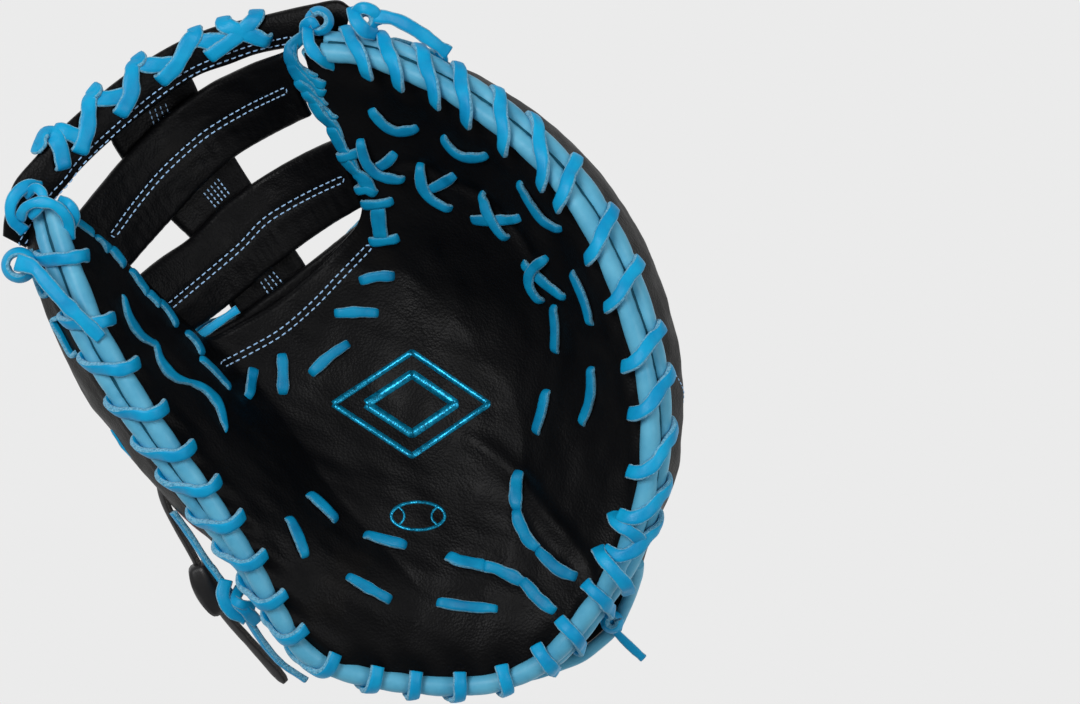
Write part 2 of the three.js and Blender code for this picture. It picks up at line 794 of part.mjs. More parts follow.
const holes = [...laceHoles(THUMB_LACE), ...laceHoles(FINGER_LACE)];
const rollWays = [-1, 1].map((side) => solid(rimRoll(side, CLEAR)));
const crestWay = solid(webCrest(CLEAR));
const barWays = BARS.map((row) => solid(webBar(row, CLEAR)));
const webBindingWay = solid(webOpeningBinding(CLEAR));
const bindingWays = [webBindingWay, solid(handOpeningBinding(CLEAR)), solid(strapBinding(CLEAR))];
const wristLabelWay = solid(label(WRIST_LABEL, false, CLEAR));
const thumbLabelWay = solid(label(THUMB_LABEL, true, CLEAR));
const carve = (body, cutters) => cutters.reduce((left, cutter) => left.subtract(cutter), body);
const largest = (body) => body.decompose().sort((a, b) => b.volume() - a.volume())[0];

// The palm
const palmCuts = [...holes, ...rollWays, crestWay, ...barWays];
add("palm_shell", geometryOf(largest(carve(solid(palmShell()), palmCuts))), BLACK_LEATHER);

// The back, cut into its two panels and the wrist strap
const slits = SEAMS.map(slit);
const backCuts = [...holes, ...rollWays, crestWay, ...barWays, ...bindingWays, handOpeningCut(), ...slits];
const backPieces = carve(solid(wholeBack()), backCuts)
  .decompose()
  .sort((a, b) => b.volume() - a.volume())
  .slice(0, 3);
const centreOf = (body) => {
  const box = body.boundingBox();
  return [(box.min[0] + box.max[0]) / 2, (box.min[1] + box.max[1]) / 2];
};
const strapPiece = backPieces.reduce((a, b) => (centreOf(a)[1] < centreOf(b)[1] ? a : b));
const panels = backPieces.filter((piece) => piece !== strapPiece);
const fingerPiece = panels.reduce((a, b) => (centreOf(a)[0] > centreOf(b)[0] ? a : b));
const thumbPiece = panels.find((piece) => piece !== fingerPiece);
add("back_finger_panel", geometryOf(fingerPiece), BLACK_LEATHER);
add("back_thumb_panel", geometryOf(carve(thumbPiece, [thumbLabelWay, solid(pullStrap(CLEAR))])), BLACK_LEATHER);
add("wrist_strap", geometryOf(strapPiece.subtract(wristLabelWay)), BLACK_LEATHER);

// The rim
add("palm_rim_roll", geometryOf(largest(solid(rimRoll(-1)).subtract(crestWay))), BLUE_BINDING);
add("back_rim_roll", geometryOf(largest(solid(rimRoll(1)).subtract(crestWay))), BLUE_BINDING);
add("thumb_side_rim_lace", rimLace(THUMB_LACE), BLUE_LACE);
add("finger_side_rim_lace", rimLace(FINGER_LACE), BLUE_LACE);

// The web
add("web_crest", webCrest(0), BLACK_LEATHER);
BARS.forEach((row) => add(row[0], geometryOf(largest(solid(webBar(row)).subtract(webBindingWay))), BLACK_LEATHER));
add("web_bar_bottom", lowBar(), BLACK_LEATHER);
add("web_post", webPost(), BLACK_LEATHER);

// Bound edges
add("web_opening_binding", webOpeningBinding(0), BLUE_BINDING);
add("hand_opening_binding", handOpeningBinding(0), BLUE_BINDING);
add("wrist_strap_binding", strapBinding(0), BLUE_BINDING);

// Small pieces on the back
add("pull_strap", pullStrap(0), BLACK_LEATHER);
add("pull_strap_bead", geometryOf(strapBead()), BLACK_LEATHER);
add("wrist_label", label(WRIST_LABEL, false, 0), RED_PATCH);
add("thumb_label", label(THUMB_LABEL, true, 0), RED_PATCH);

// The origin goes under the middle of the whole mitt.
const whole = new THREE.Box3().setFromObject(parts).getCenter(new THREE.Vector3());
parts.children.forEach((mesh) => mesh.geometry.translate(-whole.x, -whole.y, 0));

export default parts;
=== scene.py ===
import math
import random

import bpy
import numpy as np
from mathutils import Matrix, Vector
from mathutils.bvhtree import BVHTree


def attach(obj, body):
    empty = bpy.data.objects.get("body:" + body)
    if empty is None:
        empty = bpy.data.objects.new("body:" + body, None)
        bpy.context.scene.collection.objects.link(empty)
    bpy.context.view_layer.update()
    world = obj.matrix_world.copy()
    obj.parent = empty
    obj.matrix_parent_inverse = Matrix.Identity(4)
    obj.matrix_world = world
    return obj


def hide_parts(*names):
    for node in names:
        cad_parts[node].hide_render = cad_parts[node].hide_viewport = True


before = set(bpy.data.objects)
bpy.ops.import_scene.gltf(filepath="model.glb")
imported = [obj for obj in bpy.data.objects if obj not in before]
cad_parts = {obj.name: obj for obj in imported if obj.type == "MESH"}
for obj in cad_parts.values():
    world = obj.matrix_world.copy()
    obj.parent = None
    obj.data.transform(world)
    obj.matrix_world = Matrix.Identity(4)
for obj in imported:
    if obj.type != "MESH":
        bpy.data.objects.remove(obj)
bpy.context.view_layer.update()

rng = random.Random(7)

MM = 0.001
NEAR_NOTHING = 1e-6
ORIGIN = np.array([13.95, -3.677, 0.0])  # the row frame's origin in the frame of the tables

# The mitt's driving dimensions, as in its solids
ROLL_RADIUS = 4.1
ROLL_PITCH = 8.6
BACK_WALL = 3.2
BINDING_RADIUS = 2.8
THREAD_DEPTH = 0.35  # what lies flat on the table keeps this far over it, on its stitching
FLOOR_DROP = 14.5
WEB_SAG = 17.0
WEB_LAYER = 5.9
LACE_WIDTH = 6.2
LACE_THICK = 2.2
UNEVEN_CUT = 0.06  # how much a lace's width and thickness waver, as a share

# The photograph: how large it is and how its camera stands over the mitt
PHOTO_WIDTH = 1080
PHOTO_HEIGHT = 704
MM_PER_PIXEL = 0.44
EYE_HEIGHT = 2600.0  # above the plane on which MM_PER_PIXEL holds
TRUE_PLANE = 60.0 - FLOOR_DROP
TURN = math.radians(28)
EYE = np.array([75.47, -36.14, TRUE_PLANE + EYE_HEIGHT])

# The rim, half way between its two rolls, from the thumb's tip round the heel to the finger's tip
RIM = [
    [-84.6, 121.5, 84], [-88.9, 103.5, 88], [-93.1, 60, 92], [-90.4, 16, 90], [-82.7, -41.6, 80],
    [-79.8, -85, 68], [-76.5, -104, 62], [-65.7, -119, 58], [-46.9, -135, 56], [-24.5, -149, 57],
    [-1.8, -157, 61], [19.2, -156.5, 67], [42.1, -147.5, 74], [61.6, -136.5, 81], [78.9, -123.3, 88],
    [94, -106, 94], [107.4, -83, 100], [117.5, -54, 104], [123.7, -10, 106], [121.5, 24, 105],
    [111, 56, 101.5], [95, 86, 97], [74, 112, 92], [47.3, 130.8, 86],
]
THUMB_HEEL = 6  # the rows at which the heel begins and ends
FINGER_HEEL = 14
# The palm's edge at the web, from the thumb's tip to the finger's tip
WEB_EDGE = [
    [-84.6, 121.5, 84], [-77.5, 106, 74], [-70.5, 91, 64], [-65.5, 70, 51], [-61.5, 50, 39],
    [-54, 39, 31], [-35, 38, 27], [-17, 39, 25], [2, 43, 25], [19, 48, 28], [33, 54, 36],
    [41, 66, 47], [43.5, 88, 59], [44, 106, 69], [45, 119, 78], [47.3, 130.8, 86],
]
# The pocket: shares along, and how deep it lies there
POCKET_SHARES = [0, 0.12, 0.25, 0.4, 0.52, 0.65, 0.8, 0.92, 1]
POCKET_DROPS = [0, 2, 10, 21, 26, 25, 20, 9, 0]
# The mitt's thickness: rows of a share along and the thickness at these shares across
ACROSS = [0, 0.05, 0.16, 0.3, 0.5, 0.7, 0.84, 0.95, 1]
THICKNESS = [
    (0, [8.6, 11, 27, 38, 42, 40, 27, 11, 8.6]),
    (0.2, [8.6, 12, 31, 43, 47, 45, 33, 12, 8.6]),
    (0.4, [8.6, 12, 31, 36, 36, 38, 34, 13, 8.6]),
    (0.6, [8.6, 12, 30, 28, 22, 30, 34, 13, 8.6]),
    (0.8, [8.6, 12, 26, 20, 15, 22, 30, 13, 8.6]),
    (1, [8.6, 11, 15, 15, 15, 15, 15, 11, 8.6]),
]
# The same for the palm's padding alone, and the least room between it and the back
PADDING_GAP = 0.6
PADDING = [
    (0, [4, 5, 8.6, 8.6, 8.6, 8.6, 8.6, 5, 4]),
    (0.2, [4, 5, 11, 13, 12, 13, 11, 5, 4]),
    (0.5, [4, 5, 8, 8, 8, 8, 8, 5, 4]),
    (0.8, [4, 4.5, 6, 6, 6, 6, 6, 4.5, 4]),
    (1, [4, 4, 4, 4, 4, 4, 4, 4, 4]),
]
# How far the back's sides swell out past the rolls: shares across, shares of the swell
SWELL_ACROSS = [0, 0.03, 0.05, 0.1, 0.2, 0.3, 0.4, 0.47]
SWELL_SHARES = [0, 0.3, 0.52, 0.85, 1, 0.8, 0.25, 0]
# and shares along, swell at the thumb side and at the finger side
SWELL_ALONG = [0, 0.1, 0.2, 0.35, 0.6, 1]
SWELL_THUMB = [4, 17, 28, 36, 38, 38]
SWELL_FINGER = [3, 11, 18, 23, 25, 22]
SWELL_LEAN = 0.08  # how far in the place lies that shows which way is outwards
WEB_EDGE_SHARE = 0.97  # where along the mitt the web is sewn on
# The web's two sides, by shares across the mitt at their lower and at their upper end
WEB_LEFT = (0.34, 0.04)
WEB_RIGHT = (0.67, 0.96)
CREST_MIDDLE = [[-44, 139, 62], [1, 140, 53]]
RIM_REACH = 6  # how far to both sides the rim's direction is taken


class Way:
    """A way along points, by arc length: 0 is its start and 1 its end."""

    def __init__(self, points):
        self.points = np.asarray(points, float)
        steps = np.linalg.norm(np.diff(self.points, axis=0), axis=1)
        self.marks = np.concatenate([[0], np.cumsum(steps)])
        self.length = self.marks[-1]

    def __call__(self, share):
        goal = np.clip(share, 0, 1) * self.length
        columns = [np.interp(goal, self.marks, self.points[:, k]) for k in range(self.points.shape[1])]
        return np.stack(columns, axis=-1)


def root_of_gap(a, b):
    """The square root of how far points lie apart, for a centripetal curve."""
    return np.maximum(np.linalg.norm(a - b, axis=1), NEAR_NOTHING)[:, None] ** 0.5


def spline(rows, first=0.0, last=None, count=240):
    """Points of a centripetal Catmull-Rom curve through rows, from one row number to another."""
    rows = np.asarray(rows, float)
    top = len(rows) - 1
    last = top if last is None else last
    ends = np.vstack([2 * rows[0] - rows[1], rows, 2 * rows[-1] - rows[-2]])
    t = np.linspace(first, last, count)
    i = np.clip(t.astype(int), 0, top - 1)
    w = (t - i)[:, None]
    p0, p1, p2, p3 = (ends[i + k] for k in range(4))
    d0, d1, d2 = root_of_gap(p0, p1), root_of_gap(p1, p2), root_of_gap(p2, p3)
    m1 = ((p1 - p0) / d0 - (p2 - p0) / (d0 + d1) + (p2 - p1) / d1) * d1
    m2 = ((p2 - p1) / d1 - (p3 - p1) / (d1 + d2) + (p3 - p2) / d2) * d1
    return (
        p1 + m1 * w
        + (-3 * p1 + 3 * p2 - 2 * m1 - m2) * w**2
        + (2 * p1 - 2 * p2 + m1 + m2) * w**3
    )


def between(xs, ys, x):
    """A smooth curve through a short table that never swings past its values."""
    xs = np.asarray(xs, float)
    ys = [np.asarray(y, float) for y in ys]
    x = np.clip(x, xs[0], xs[-1])
    slopes = [(ys[k + 1] - ys[k]) / (xs[k + 1] - xs[k]) for k in range(len(xs) - 1)]
    tangents = [slopes[0]]
    for a, b in zip(slopes, slopes[1:]):
        product = a * b
        tangents.append(np.where(product <= 0, 0, 2 * product / np.where(product <= 0, 1, a + b)))
    tangents.append(slopes[-1])
    result = np.zeros(np.shape(x))
    for k in range(len(xs) - 1):
        span = xs[k + 1] - xs[k]
        t = (x - xs[k]) / span
        rise = span * (tangents[k] * t * (1 - t) ** 2 - tangents[k + 1] * t * t * (1 - t))
        value = ys[k] + (ys[k + 1] - ys[k]) * t * t * (3 - 2 * t) + rise
        inside = (x >= xs[k]) & (x <= xs[k + 1])
        result = np.where(inside, value, result)
    return result


def arrays(a, b):
    """Two numbers or arrays as arrays of one shape."""
    return np.broadcast_arrays(np.asarray(a, float), np.asarray(b, float))


def unit(v):
    return v / np.maximum(np.linalg.norm(v, axis=-1, keepdims=True), 1e-9)


def smoothstep(x, low, high):
    t = np.clip((x - low) / (high - low), 0, 1)
    return t * t * (3 - 2 * t)


def lerp(a, b, t):
    return a + (b - a) * t


# The mitt's middle surface: u from the thumb side to the finger side, v from heel to web
thumb_side = Way(spline(RIM, THUMB_HEEL, 0))
heel_side = Way(spline(RIM, THUMB_HEEL, FINGER_HEEL))
finger_side = Way(spline(RIM, FINGER_HEEL))
web_side = Way(spline(WEB_EDGE))
RIM_LENGTH = thumb_side.length + heel_side.length + finger_side.length


def patch(left, right, bottom, top, u, v):
    """A point of the surface that four ways hold."""
    a, b = u[..., None], v[..., None]
    p = left(v) * (1 - a) + right(v) * a + bottom(u) * (1 - b) + top(u) * b
    p = p - left(0.0) * (1 - a) * (1 - b) - right(0.0) * a * (1 - b)
    return p - left(1.0) * (1 - a) * b - right(1.0) * a * b


def middle(u, v):
    """A point of the surface that lies between the two rolls and sinks into the pocket."""
    u, v = arrays(u, v)
    p = patch(thumb_side, finger_side, heel_side, web_side, u, v)
    p[..., 2] -= between(POCKET_SHARES, POCKET_DROPS, v) * np.sin(np.pi * np.clip(u, 0, 1)) ** 0.8
    return p


def out_of_palm(u, v):
    step = 0.05
    a = np.clip(u, step, 1 - step)
    b = np.clip(v, step, 1 - step)
    across = middle(a + step, b) - middle(a - step, b)
    along = middle(a, b + step) - middle(a, b - step)
    return unit(np.cross(across, along))


def from_table(table, u, v):
    """A smooth value at a place, from rows of a share along and the values at the shares ACROSS."""
    u, v = arrays(u, v)
    return between([row[0] for row in table], [between(ACROSS, row[1], u) for row in table], v)


def thickness(u, v):
    """The whole mitt's thickness, with the hand's room in it."""
    return from_table(THICKNESS, u, v)


def padding(u, v):
    """The palm's own thickness."""
    return np.minimum(from_table(PADDING, u, v), thickness(u, v) - BACK_WALL - PADDING_GAP)


def in_mitt(u, v, depth):
    """A point by its depth below the palm's surface, pressed flat where the mitt rests."""
    p = middle(u, v) + out_of_palm(u, v) * (ROLL_PITCH / 2 - np.asarray(depth))[..., None]
    p[..., 2] = np.maximum(np.maximum(p[..., 2] - FLOOR_DROP, thickness(u, v) - depth), 0)
    return p


def swelling(u, v):
    """The back's swell at a place, a level way outwards."""
    u, v = arrays(u, v)
    far = u > 0.5
    side = np.where(far, 1.0, 0.0)
    size = np.where(far, between(SWELL_ALONG, SWELL_FINGER, v), between(SWELL_ALONG, SWELL_THUMB, v))
    share = between(SWELL_ACROSS, SWELL_SHARES, np.where(far, 1 - u, u))
    out = middle(side, v) - middle(np.where(far, 1 - SWELL_LEAN, SWELL_LEAN), v)
    out[..., 2] = 0
    return unit(out) * (size * share)[..., None]


def in_back(u, v, inside):
    """A point of the back, by how far it lies inside the back's outer face."""
    return in_mitt(u, v, thickness(u, v) - inside) + swelling(u, v)


def rim_uv(distance):
    """The shares across and along at a distance along the rim."""
    d = np.clip(distance, 0, RIM_LENGTH)
    on_heel = d - thumb_side.length
    on_finger = on_heel - heel_side.length
    u = np.clip(on_heel / heel_side.length, 0, 1)
    v = np.where(on_heel < 0, 1 - d / thumb_side.length, np.clip(on_finger / finger_side.length, 0, 1))
    return u, v


class Rim:
    """The rim at distances along it: its middle, and the ways along, to the back roll and up."""

    def __init__(self, distance):
        distance = np.asarray(distance, float)
        self.p = middle(*rim_uv(distance)) - [0, 0, FLOOR_DROP]
        self.along = unit(middle(*rim_uv(distance + RIM_REACH)) - middle(*rim_uv(distance - RIM_REACH)))
        normal = out_of_palm(*rim_uv(distance - 8)) + out_of_palm(*rim_uv(distance + 8))
        normal = normal - self.along * np.sum(normal * self.along, axis=-1, keepdims=True)
        self.to_back = -unit(normal)
        self.up = np.cross(self.along, -self.to_back)

    def place(self, back, up):
        return self.p + self.to_back * np.asarray(back)[..., None] + self.up * np.asarray(up)[..., None]


# The web's sheet: s from the thumb end to the finger end, t from the palm to the crest
def palm_web_edge(first, last):
    across = np.linspace(first, last, 21)
    return Way(in_mitt(across, np.full(21, WEB_EDGE_SHARE), np.full(21, WEB_LAYER)))


web_left = palm_web_edge(*WEB_LEFT)
web_right = palm_web_edge(*WEB_RIGHT)
web_bottom = palm_web_edge(WEB_LEFT[0], WEB_RIGHT[0])
crest_inner = Way(spline([web_left(1.0), *CREST_MIDDLE, web_right(1.0)]))


def in_web(s, t):
    s, t = arrays(s, t)
    p = patch(web_left, web_right, web_bottom, crest_inner, s, t)
    hang = np.sin(np.pi * np.clip(s, 0, 1)) ** 1.3
    p[..., 2] -= WEB_SAG * hang * np.sin(0.5 * np.pi * np.clip(t * 1.15, 0, 1))
    return p


def web_opening(u):
    """How far along the back reaches at a share across: less in the middle, behind the web."""
    return 1 - 0.2 * smoothstep(u, 0.24, 0.42) * (1 - smoothstep(u, 0.58, 0.76))


# The photograph's camera
PHOTO_RIGHT = np.array([math.cos(TURN), -math.sin(TURN), 0])
PHOTO_UP = np.array([math.sin(TURN), math.cos(TURN), 0])


def sight(x, y):
    """The unit direction from the camera through a pixel of the photograph."""
    across = (x - PHOTO_WIDTH / 2) * MM_PER_PIXEL
    upward = (PHOTO_HEIGHT / 2 - y) * MM_PER_PIXEL
    return unit(PHOTO_RIGHT * across + PHOTO_UP * upward + np.array([0, 0, -EYE_HEIGHT]))


def at_height(x, y, z):
    """The place at a height that is seen at a pixel of the photograph."""
    way = sight(x, y)
    return EYE + way * ((z - EYE[2]) / way[2])


def pixels_of(points):
    """Where places are seen in the photograph."""
    d = np.asarray(points, float) - EYE
    scale = EYE_HEIGHT / -d[..., 2] / MM_PER_PIXEL
    x = PHOTO_WIDTH / 2 + d @ PHOTO_RIGHT * scale
    y = PHOTO_HEIGHT / 2 - d @ PHOTO_UP * scale
    return np.stack([x, y], axis=-1)


class Sheet:
    """A fine surface that places are looked up on by pixel."""

    def __init__(self, grid):
        n, m = grid.shape[:2]
        self.points = grid.reshape(-1, 3)
        self.tree = BVHTree.FromPolygons(self.points.tolist(), quads(n, m).tolist())

    def seen(self, x, y):
        """The place seen at a pixel, and the way out of the surface there."""
        way = sight(x, y)
        hit, normal, _, _ = self.tree.ray_cast(Vector(EYE), Vector(way))
        if hit is None:
            flat = pixels_of(self.points)
            near = self.points[np.argmin(np.sum((flat - [x, y]) ** 2, axis=1))]
            place = at_height(x, y, near[2])
            _, normal, _, _ = self.tree.find_nearest(Vector(place))
            hit = place
        normal = np.array(normal)
        return np.array(hit), normal if normal[2] > 0 else -normal


class Underside(Sheet):
    """The same for a surface that looks down."""

    def seen(self, x, y):
        place, way = super().seen(x, y)
        return place, -way


def quads(n, m, closed=False):
    """The faces of an n by m grid of points, whose rows may join up."""
    i, j = np.meshgrid(np.arange(n - 1), np.arange(m if closed else m - 1), indexing="ij")
    k = (j + 1) % m
    return np.stack([i * m + j, (i + 1) * m + j, (i + 1) * m + k, i * m + k], axis=-1).reshape(-1, 4)


class Bundle:
    """Meshes gathered into one piece. look is the number of a face's material."""

    def __init__(self):
        self.points = []
        self.faces = []
        self.looks = []
        self.count = 0

    def add(self, points, faces, looks=0):
        self.points.append(np.asarray(points, float).reshape(-1, 3))
        self.faces += [[int(i) + self.count for i in face] for face in faces]
        self.looks += list(np.broadcast_to(looks, len(faces)))
        self.count += len(self.points[-1])

    def piece(self, name, slot, materials, replaces=()):
        return piece(name, np.vstack(self.points), self.faces, materials, replaces, self.looks)


def add_object(name, data):
    made = bpy.data.objects.new(name, data)
    bpy.context.scene.collection.objects.link(made)
    return made


def piece(name, points, faces, materials, replaces=(), looks=None):
    """A smooth piece of the mitt; what would hang through the table lies flat on it."""
    places = np.asarray(points) - ORIGIN
    places[:, 2] = np.maximum(places[:, 2], 0.0)
    mesh = bpy.data.meshes.new(name)
    mesh.from_pydata((places * MM).tolist(), [], faces)
    mesh.polygons.foreach_set("use_smooth", [True] * len(mesh.polygons))
    for material in materials:
        mesh.materials.append(material)
    if looks is not None:
        mesh.polygons.foreach_set("material_index", np.asarray(looks, np.int32))
    mesh.update()
    made = add_object(name, mesh)
    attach(made, "root")
    if replaces:
        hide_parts(*replaces)
    return made


def circle(sides, size=1.0):
    """The points of a round section."""
    turn = np.linspace(0, 2 * math.pi, sides, endpoint=False)
    return np.stack([np.cos(turn), np.sin(turn)], axis=1) * size


def share_grid(rows, columns, first=0, last=1):
    """Two grids of even shares: along the rows, and across the columns."""
    return np.meshgrid(np.linspace(first, last, rows), np.linspace(0, 1, columns), indexing="ij")


def straight_up(count):
    return np.tile([0.0, 0.0, 1.0], (count, 1))


def shell(outer, inner):
    """A closed body between two grids of points of the same size."""
    n, m = outer.shape[:2]
    top = quads(n, m)
    bottom = top[:, ::-1] + n * m
    ring = [(i, 0) for i in range(n - 1)] + [(n - 1, j) for j in range(m - 1)]
    ring += [(i, m - 1) for i in range(n - 1, 0, -1)] + [(0, j) for j in range(m - 1, 0, -1)]
    edge = [i * m + j for i, j in ring]
    walls = [[a, a + n * m, b + n * m, b] for a, b in zip(edge, edge[1:] + edge[:1])]
    return np.vstack([outer.reshape(-1, 3), inner.reshape(-1, 3)]), top.tolist() + bottom.tolist() + walls


def along_path(points):
    """The unit tangents of a path."""
    return unit(np.gradient(np.asarray(points, float), axis=0))


def sweep(section, points, ups, scale=None):
    """A closed body swept along points, with its section's second axis towards ups."""
    points = np.asarray(points, float)
    tangent = along_path(points)
    ups = unit(ups - tangent * np.sum(ups * tangent, axis=1, keepdims=True))
    sides = np.cross(ups, tangent)
    section = np.asarray(section, float)
    if section.ndim == 2:
        section = np.broadcast_to(section, (len(points), *section.shape))
    if scale is not None:
        section = section * np.asarray(scale)[:, None, :]
    grid = points[:, None] + sides[:, None] * section[..., :1] + ups[:, None] * section[..., 1:]
    n, m = grid.shape[:2]
    faces = quads(n, m, closed=True).tolist()
    faces += [list(range(m)), list(range(n * m - 1, (n - 1) * m - 1, -1))]
    return grid.reshape(-1, 3), faces


# A lace's section: wide and flat, with soft corners. Its sides are raw leather.
LACE_SECTION = np.array([
    [-0.5, -0.1], [-0.43, -0.44], [-0.2, -0.5], [0.2, -0.5], [0.43, -0.44], [0.5, -0.1],
    [0.5, 0.08], [0.425, 0.44], [0.2, 0.54], [-0.2, 0.54], [-0.425, 0.44], [-0.5, 0.08],
])
RAW_SIDES = {4, 5, 6, 10, 11, 0}
LACE_STEP = 0.9
THREAD_STEP = 0.4


def smooth_path(points, ups, step):
    """Points and ups resampled evenly on a curve through the given ones."""
    rows = np.hstack([np.asarray(points, float), unit(np.asarray(ups, float)) * 4])
    dense = spline(rows, count=24 * len(rows))
    way = Way(dense[:, :3])
    count = max(int(way.length / step), 6)
    goal = np.linspace(0, way.length, count)
    columns = [np.interp(goal, way.marks, dense[:, k]) for k in range(6)]
    dense = np.stack(columns, axis=1)
    return dense[:, :3], unit(dense[:, 3:])


def lace(bundle, points, ups, width=LACE_WIDTH, thick=LACE_THICK, taper=None):
    """A flat leather lace through points, lying square to ups."""
    path, tops = smooth_path(points, ups, LACE_STEP)
    wander = 1 + 0.03 * np.sin(np.linspace(0, rng.uniform(4, 9), len(path)) + rng.uniform(0, 6))
    uneven = 1 + UNEVEN_CUT * sines(path, 8, 81)
    scale = np.stack([width * wander * uneven, thick * (2 - uneven)], axis=1)
    if taper is not None:
        scale[:, 0] *= np.interp(np.linspace(0, 1, len(path)), *taper)
    body, faces = sweep(LACE_SECTION, path, tops, scale)
    sides = len(LACE_SECTION)
    looks = [1 if k % sides in RAW_SIDES else 0 for k in range(len(faces) - 2)] + [1, 1]
    bundle.add(body, faces, looks)


# A stitch: shares of its length, and there its height over the surface and share of full size
STITCH_SHARES = np.array([0, 0.12, 0.5, 0.88, 1])
STITCH_LIFTS = np.array([-0.25, 0.08, 0.2, 0.08, -0.25])
STITCH_SIZES = np.array([0.35, 0.9, 1, 0.9, 0.35])
THREAD_RADIUS = 0.34


def dashes(bundle, points, ups, length=2.3, gap=1.1):
    """A row of stitches along a path, half sunk in the surface."""
    path, tops = smooth_path(points, ups, THREAD_STEP)
    way = Way(path)
    ring = circle(6, THREAD_RADIUS)
    for k in range(int(way.length / (length + gap))):
        start = (k * (length + gap) + gap / 2) / way.length
        shares = start + STITCH_SHARES * length / way.length
        columns = [np.interp(shares * way.length, way.marks, tops[:, i]) for i in range(3)]
        up = unit(np.stack(columns, axis=1))
        places = way(shares) + up * STITCH_LIFTS[:, None]
        bundle.add(*sweep(ring, places, up, np.stack([STITCH_SIZES, STITCH_SIZES], axis=1)))


# Materials

def new_material(name, roughness, specular=0.3, sheen=0.0):
    material = bpy.data.materials.new(name)
    material.use_nodes = True
    shader = material.node_tree.nodes["Principled BSDF"]
    shader.inputs["Roughness"].default_value = roughness
    shader.inputs["Specular IOR Level"].default_value = specular
    shader.inputs["Sheen Weight"].default_value = sheen
    return material, material.node_tree, shader


def noise(tree, scale, detail=4.0, roughness=0.55, stretch=(1, 1, 1)):
    places = tree.nodes.new("ShaderNodeTexCoord")
    mapping = tree.nodes.new("ShaderNodeMapping")
    mapping.inputs["Scale"].default_value = stretch
    texture = tree.nodes.new("ShaderNodeTexNoise")
    texture.inputs["Scale"].default_value = scale
    texture.inputs["Detail"].default_value = detail
    texture.inputs["Roughness"].default_value = roughness
    tree.links.new(places.outputs["Object"], mapping.inputs["Vector"])
    tree.links.new(mapping.outputs["Vector"], texture.inputs["Vector"])
    return texture.outputs["Fac"]


def cells(tree, scale):
    places = tree.nodes.new("ShaderNodeTexCoord")
    texture = tree.nodes.new("ShaderNodeTexVoronoi")
    texture.feature = "F1"
    texture.inputs["Scale"].default_value = scale
    tree.links.new(places.outputs["Object"], texture.inputs["Vector"])
    return texture.outputs["Distance"]


def paint(tree, shader, factor, *stops):
    """A base colour that follows a factor through stops of (place, colour)."""
    node = tree.nodes.new("ShaderNodeValToRGB")
    elements = node.color_ramp.elements
    while len(elements) < len(stops):
        elements.new(0.5)
    for element, (place, colour) in zip(elements, stops):
        element.position = place
        element.color = (*colour, 1)
    tree.links.new(factor, node.inputs["Fac"])
    tree.links.new(node.outputs["Color"], shader.inputs["Base Color"])


def roughen(tree, shader, factor, low, high):
    """A roughness that follows the middle of a factor's range."""
    node = tree.nodes.new("ShaderNodeMapRange")
    node.inputs["From Min"].default_value = 0.3
    node.inputs["From Max"].default_value = 0.7
    node.inputs["To Min"].default_value = low
    node.inputs["To Max"].default_value = high
    tree.links.new(factor, node.inputs["Value"])
    tree.links.new(node.outputs["Result"], shader.inputs["Roughness"])


def bump(tree, shader, *layers):
    """Layers of (height, strength, distance in metres) on a shader's normal."""
    normal = None
    for height, strength, distance in layers:
        node = tree.nodes.new("ShaderNodeBump")
        node.inputs["Strength"].default_value = strength
        node.inputs["Distance"].default_value = distance
        tree.links.new(height, node.inputs["Height"])
        if normal is not None:
            tree.links.new(normal, node.inputs["Normal"])
        normal = node.outputs["Normal"]
    tree.links.new(normal, shader.inputs["Normal"])


def leather(name, deep, pale, worn, rough=(0.42, 0.6), specular=0.3, grain=0.35):
    """Full-grain leather: a pebbled grain, fine creases, and a colour that wears in random patches."""
    material, tree, shader = new_material(name, rough[0], specular)
    paint(tree, shader, noise(tree, 22, 5), (0.35, deep), (0.62, pale), (0.86, worn))
    roughen(tree, shader, noise(tree, 60, 6), *rough)
    bump(
        tree, shader,
        (noise(tree, 90, 5, 0.6), 0.25, 0.0012),
        (noise(tree, 260, 4, 0.6, (1, 0.45, 1)), 0.3, 0.0006),
        (cells(tree, 900), grain, 0.00025),
    )
    return material


def satin_leather(name, deep, pale, specular=0.35, grain=0.2):
    """Smooth dyed leather, of the laces and rolls."""
    rough = 0.4
    material, tree, shader = new_material(name, rough, specular)
    paint(tree, shader, noise(tree, 70, 6), (0.3, deep), (0.7, pale))
    roughen(tree, shader, noise(tree, 150, 5), rough - 0.06, rough + 0.12)
    bump(
        tree, shader,
        (noise(tree, 320, 5, 0.6), 0.25, 0.0004),
        (cells(tree, 1300), grain, 0.00012),
    )
    return material


def fibrous(name, surface, stain, stops, *layers):
    """A matt fibrous surface: its colour follows one noise and its relief others."""
    material, tree, shader = new_material(name, *surface)
    paint(tree, shader, noise(tree, *stain), *stops)
    bump(tree, shader, *((noise(tree, *grain), strength, depth) for grain, strength, depth in layers))
    return material


def raw_edge(name, deep, pale):
    """The cut side of a lace: matt, paler and fibrous."""
    return fibrous(
        name, (0.85, 0.15, 0.3), (900, 6, 0.7), [(0.36, deep), (0.6, pale)],
        ((1600, 6, 0.7), 1.0, 0.0009), ((500, 3), 0.5, 0.0006),
    )


def woven(name, deep, pale):
    """Close satin embroidery."""
    return fibrous(
        name, (0.55, 0.3, 0.5), (700, 3, 0.5, (1, 0.15, 1)), [(0.3, deep), (0.7, pale)],
        ((1400, 2, 0.5, (1, 0.1, 1)), 0.7, 0.0004),
    )


